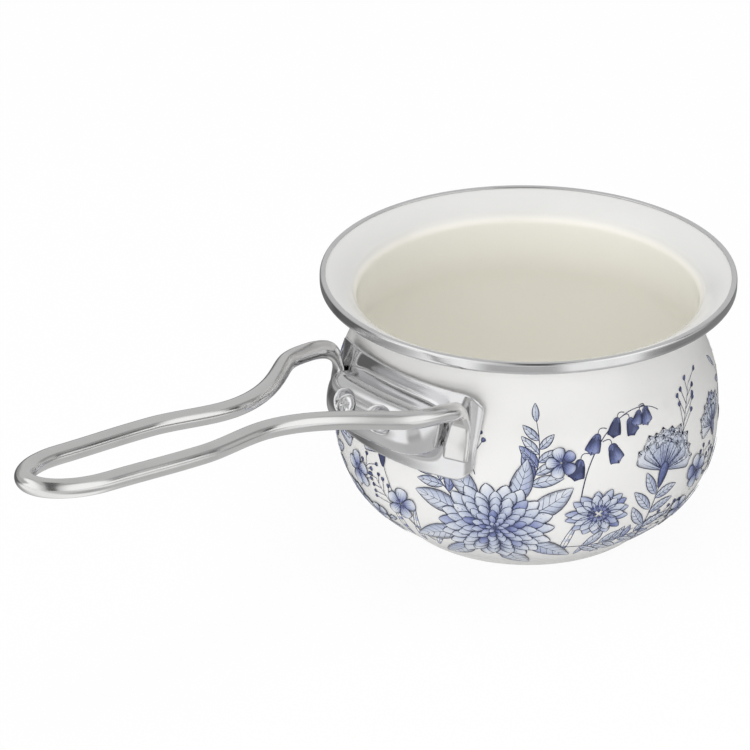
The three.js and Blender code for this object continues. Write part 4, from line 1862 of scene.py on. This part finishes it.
@dataclass(frozen=True)
class Studio:
    """White studio: the photograph's camera, a pale floor, soft lamps, and panels that only reflections see.

    The camera sees plain white, and the lamps are left out of reflections. The panels in the room and on the
    floor are set for the photograph's view, so that the steel shows its light and dark bands there.
    """

    eye: Triple = (1187.2, -1195.6, 909.7)
    heading: float = 46.92
    pitch: float = 26.727
    focal_length: float = 219.9
    ambient: float = 0.64
    wall_brightness: float = 0.62
    wall_darkest: float = 0.05
    arch_side: float = 0.68
    arch_bend: float = 3.1
    floor_size: float = 8.0
    floor_points: int = 9
    floor_drop: float = 0.1
    floor_whiteness: float = 0.94
    floor_brightness: float = 0.2
    floor_glow: Pair = (0.02, 1.08)
    paper: Pair = (0.88, 0.91)
    paper_mottle: float = 6.0
    lamps: tuple[Softbox, ...] = (
        Softbox("key_softbox", (0.98, -1.7, 0.74), (1.6, 1.2), 13.0),
        Softbox("handle_softbox", (-0.2, -1.75, 0.3), (1.2, 0.6), 2.2),
        Softbox("top_softbox", (0.1, 0.0, 2.2), (1.2, 1.2), 16.0),
    )

    def build(self) -> None:
        """Sets up everything that isn't the object."""
        self.camera()
        self.room()
        self.floor()
        for lamp in self.lamps:
            lamp.build()
        bpy.context.scene.view_settings.view_transform = "Standard"

    def camera(self) -> None:
        """Camera at the photograph's place, looking down at the pan."""
        data = bpy.data.cameras.new("photo_camera")
        data.lens = self.focal_length
        data.sensor_width = 36.0
        data.clip_end = 100.0
        made = bpy.data.objects.new("photo_camera", data)
        made.location = np.array(self.eye) * MM
        made.rotation_euler = (math.radians(90.0 - self.pitch), 0.0, math.radians(self.heading))
        bpy.context.scene.collection.objects.link(made)
        bpy.context.scene.camera = made

    def room_axes(self, x: Wire, y: Wire) -> tuple[Wire, Wire]:
        """A level place or direction along the room's own axes, to the back and to the right."""
        turn = math.radians(self.heading)
        return y * math.cos(turn) - x * math.sin(turn), x * math.cos(turn) + y * math.sin(turn)

    def room(self) -> None:
        """White room: plain white to the eye, soft even light to the object, and panels in reflections alone.

        In reflections the room is a pale sweep behind the pan, two bright panels overhead in front of it with
        a dark gap between them and round their edge, and grey walls at the sides. A direction is given by its
        side, from -1 at the left to 1, and its tilt in radians, from the back over straight up to the front.
        """
        world = bpy.data.worlds.new("white_room")
        bpy.context.scene.world = world
        tree = ShaderTree(world)
        parts = tree.node("SeparateXYZ", None, {"Vector": tree.wire(tree.node("TexCoord"), "Generated")})
        x, y, z = (tree.wire(parts, axis) for axis in "XYZ")
        back, side = self.room_axes(x, y)
        tilt = tree.math("ARCTAN2", z, back)
        aside = tree.math("ABSOLUTE", side)
        # The panels start at a shallow arch, further back on the left, and end at the left wall.
        off_centre = aside - self.arch_side
        past = tilt - off_centre * off_centre * self.arch_bend + tree.ramp(side, -0.25, -0.42) * 0.5
        left_wall = tree.ramp(side, -0.74, -0.86) * tree.ramp(tilt, 2.3, 1.9)
        panels = tree.ramp(past, 1.5, 1.82) * tree.ramp(aside, 0.15, 0.6) * (1.0 - left_wall)
        # The dark places are the arch's edge, the strip between the panels and three flags.
        edge = tree.between(past, 1.25, 1.6, 0.12) * tree.ramp(aside, 0.52, 0.36)
        edge = edge * tree.ramp(aside, 0.15, 0.3)
        strip = tree.between(side, -0.13, 0.22, 0.05) * tree.ramp(tilt, 1.3, 1.55)
        right_flag = tree.between(side, 0.79, 0.93, 0.05) * tree.between(tilt, 0.3, 1.68, 0.12)
        corner_flag = tree.ramp(side, 0.905, 0.945) * tree.between(tilt, 1.28, 2.15, 0.1)
        back_flag = tree.between(side, -0.8, -0.25, 0.1) * tree.ramp(back, 0.35, 0.6) * tree.ramp(z, 0.4, 0.2)
        changes = (
            (panels, 0.57), (edge, -0.2), (strip, -0.5), (right_flag, -0.28), (left_wall, -0.12),
            (back_flag, -0.25), (corner_flag, -0.75),
        )
        mirrored = sum((place * change for place, change in changes), start=self.wall_brightness)
        rays = tree.node("LightPath")
        glossy = tree.wire(rays, "Is Glossy Ray")
        seen = tree.math("MAXIMUM", tree.wire(rays, "Is Camera Ray"), tree.wire(rays, "Is Transmission Ray"))
        lit = seen + glossy * tree.math("MAXIMUM", mirrored, self.wall_darkest)
        strength = lit + (1.0 - tree.math("MAXIMUM", seen, glossy)) * self.ambient
        background = tree.node("Background", None, {"Color": (1.0, 1.0, 1.0), "Strength": strength})
        tree.node("OutputWorld", None, {"Surface": tree.wire(background)})

    def floor(self) -> None:
        """Pale floor under the pan."""
        half = self.floor_size / MM / 2.0
        across = np.linspace(-half, half, self.floor_points)
        x, y = np.meshgrid(across, across)
        points = np.stack([x, y, np.full_like(x, -self.floor_drop)], axis=-1)
        skin = Skin(points.reshape(-1, 3), grid_quads(self.floor_points, self.floor_points))
        made = bpy.data.objects.new("studio_floor", skin.mesh("studio_floor"))
        made.data.materials.append(self.floor_paper())
        bpy.context.scene.collection.objects.link(made)

    def floor_paper(self) -> bpy.types.Material:
        """Paper that is white to the eye, takes the object's shadow, and has panels in reflections alone.

        In reflections a place is given by its distance from the pan's axis in metres, and by its angle round
        the pan in radians, 0 in front and growing to the left.

        Returns:
            The new material.
        """
        made = bpy.data.materials.new("studio_paper")
        tree = ShaderTree(made)
        rays = tree.node("LightPath")
        seen = tree.wire(rays, "Is Camera Ray") + tree.wire(rays, "Is Transmission Ray")
        place = tree.object_place()
        parts = tree.node("SeparateXYZ", None, {"Vector": place})
        back, side = self.room_axes(*(tree.wire(parts, axis) for axis in "XY"))
        angle = tree.math("ARCTAN2", side * -1.0, back * -1.0)
        distance = tree.math("SQRT", back * back + side * side)
        far = tree.ramp(distance, 0.17, 0.28)
        left_end = angle - tree.ramp(distance, 0.32, 0.5) * 0.5
        left_panel = tree.ramp(distance, 0.165, 0.22) * tree.ramp(angle, 0.32, 0.54)
        left_panel = left_panel * (1.0 - tree.ramp(left_end, 0.72, 1.22))
        right_panel = far * tree.between(angle, -0.95, -0.25, 0.09)
        front = tree.between(angle, -1.1, 1.35, 0.2)
        farther = tree.ramp(distance, 0.3, 0.37)
        far_right = farther * tree.between(angle, -1.75, -0.95, 0.12)
        far_front = farther * tree.between(angle, -0.2, 0.4, 0.1)
        changes = (
            (front, 0.22), (1.0 - far, 0.12), (left_panel, 0.62), (right_panel, 0.52), (far_right, 0.3),
            (far_front, 0.2),
        )
        level = sum((part * change for part, change in changes), start=self.floor_brightness)
        level = tree.math("MINIMUM", level, 1.0)
        flag = tree.between(angle, 2.0, 2.85, 0.12)
        dark_left = tree.between(angle, 1.5, 2.1, 0.12) * tree.ramp(distance, 0.18, 0.24)
        mirrored = level * (1.0 - flag * 0.3 - dark_left * 0.45)
        dull, clean = ((grey, grey, grey) for grey in self.paper)
        colour = tree.mix(tree.noise(place, self.paper_mottle), dull, clean)
        matt = tree.wire(tree.node("BsdfDiffuse", None, {"Color": colour}))
        white, dim, bright = (
            tree.wire(tree.node("Emission", None, {"Color": (1.0, 1.0, 1.0), "Strength": strength}))
            for strength in (1.0, *self.floor_glow)
        )
        shine = tree.blend(mirrored, dim, bright)
        lit = tree.blend(tree.wire(rays, "Is Glossy Ray"), matt, shine)
        shown = tree.blend(seen * self.floor_whiteness, lit, white)
        tree.node("OutputMaterial", None, {"Surface": shown})
        return made


WASH_INK = PrintInk("wash_ink", (
    (0.0, (0.76, 0.78, 0.81)), (0.3, (0.5, 0.55, 0.67)), (0.6, (0.27, 0.31, 0.52)), (0.8, (0.12, 0.15, 0.33)),
    (1.0, (0.04, 0.05, 0.13))), 0.2)
LINE_INK = PrintInk("line_ink", ((0.4, (0.09, 0.11, 0.22)), (0.9, (0.022, 0.028, 0.07))), 0.15)
WHITE_ENAMEL = Enamel("white_enamel", (0.84, 0.835, 0.82), (0.82, 0.815, 0.8), (0.84, 0.835, 0.82))
# Inside enamel: a cream set light so the shaded bowl looks flatter, and at the flare a whiter enamel dimmed
# to grey as painted shade.
CREAM_ENAMEL = Enamel("cream_enamel", (0.92, 0.905, 0.845), (0.905, 0.89, 0.83), (0.72, 0.717, 0.705))
PAN_STEEL = Steel("pan_steel", (0.42, 0.43, 0.45), 0.4, (900.0, 900.0, 900.0), grain=Grain.PLACE)
TRIM_STEEL = Steel("trim_steel", (0.75, 0.75, 0.755), 0.12, (40.0, 40.0, 5200.0))
BRACKET_STEEL = Steel("bracket_steel", (0.74, 0.74, 0.75), 0.11, (260.0, 2400.0, 2400.0))
ROD_STEEL = Steel("rod_steel", (0.74, 0.735, 0.73), 0.16, (90.0, 2600.0, 2600.0), line_depth=0.02)
SCREW_STEEL = Steel("screw_steel", (0.8, 0.8, 0.81), 0.12, (1500.0, 1500.0, 1500.0))


def main() -> None:
    """Builds the saucepan piece by piece, then the studio."""
    logging.basicConfig(level=logging.INFO, format="%(name)s: %(message)s")
    profile = PanProfile()
    PanBody(profile).build(WHITE_ENAMEL, CREAM_ENAMEL, PAN_STEEL, TRIM_STEEL)
    FlowerPrint(profile).build(WASH_INK, LINE_INK)
    bracket = HandleBracket(profile)
    bracket.build(BRACKET_STEEL)
    screw = HandleScrew(bracket)
    screw.build("screw_left", -1, 25.0, SCREW_STEEL)
    screw.build("screw_right", 1, 62.0, SCREW_STEEL)
    HandleRod(bracket).build(ROD_STEEL)
    boss_steel = PAN_STEEL.material()
    for name in ("screw_boss_left", "screw_boss_right"):
        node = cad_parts[name]
        node.data.materials.clear()
        node.data.materials.append(boss_steel)
        log.info("%s: kept from the frame, %s", name, boss_steel.name)
    Studio().build()


if __name__ == "__main__":
    main()
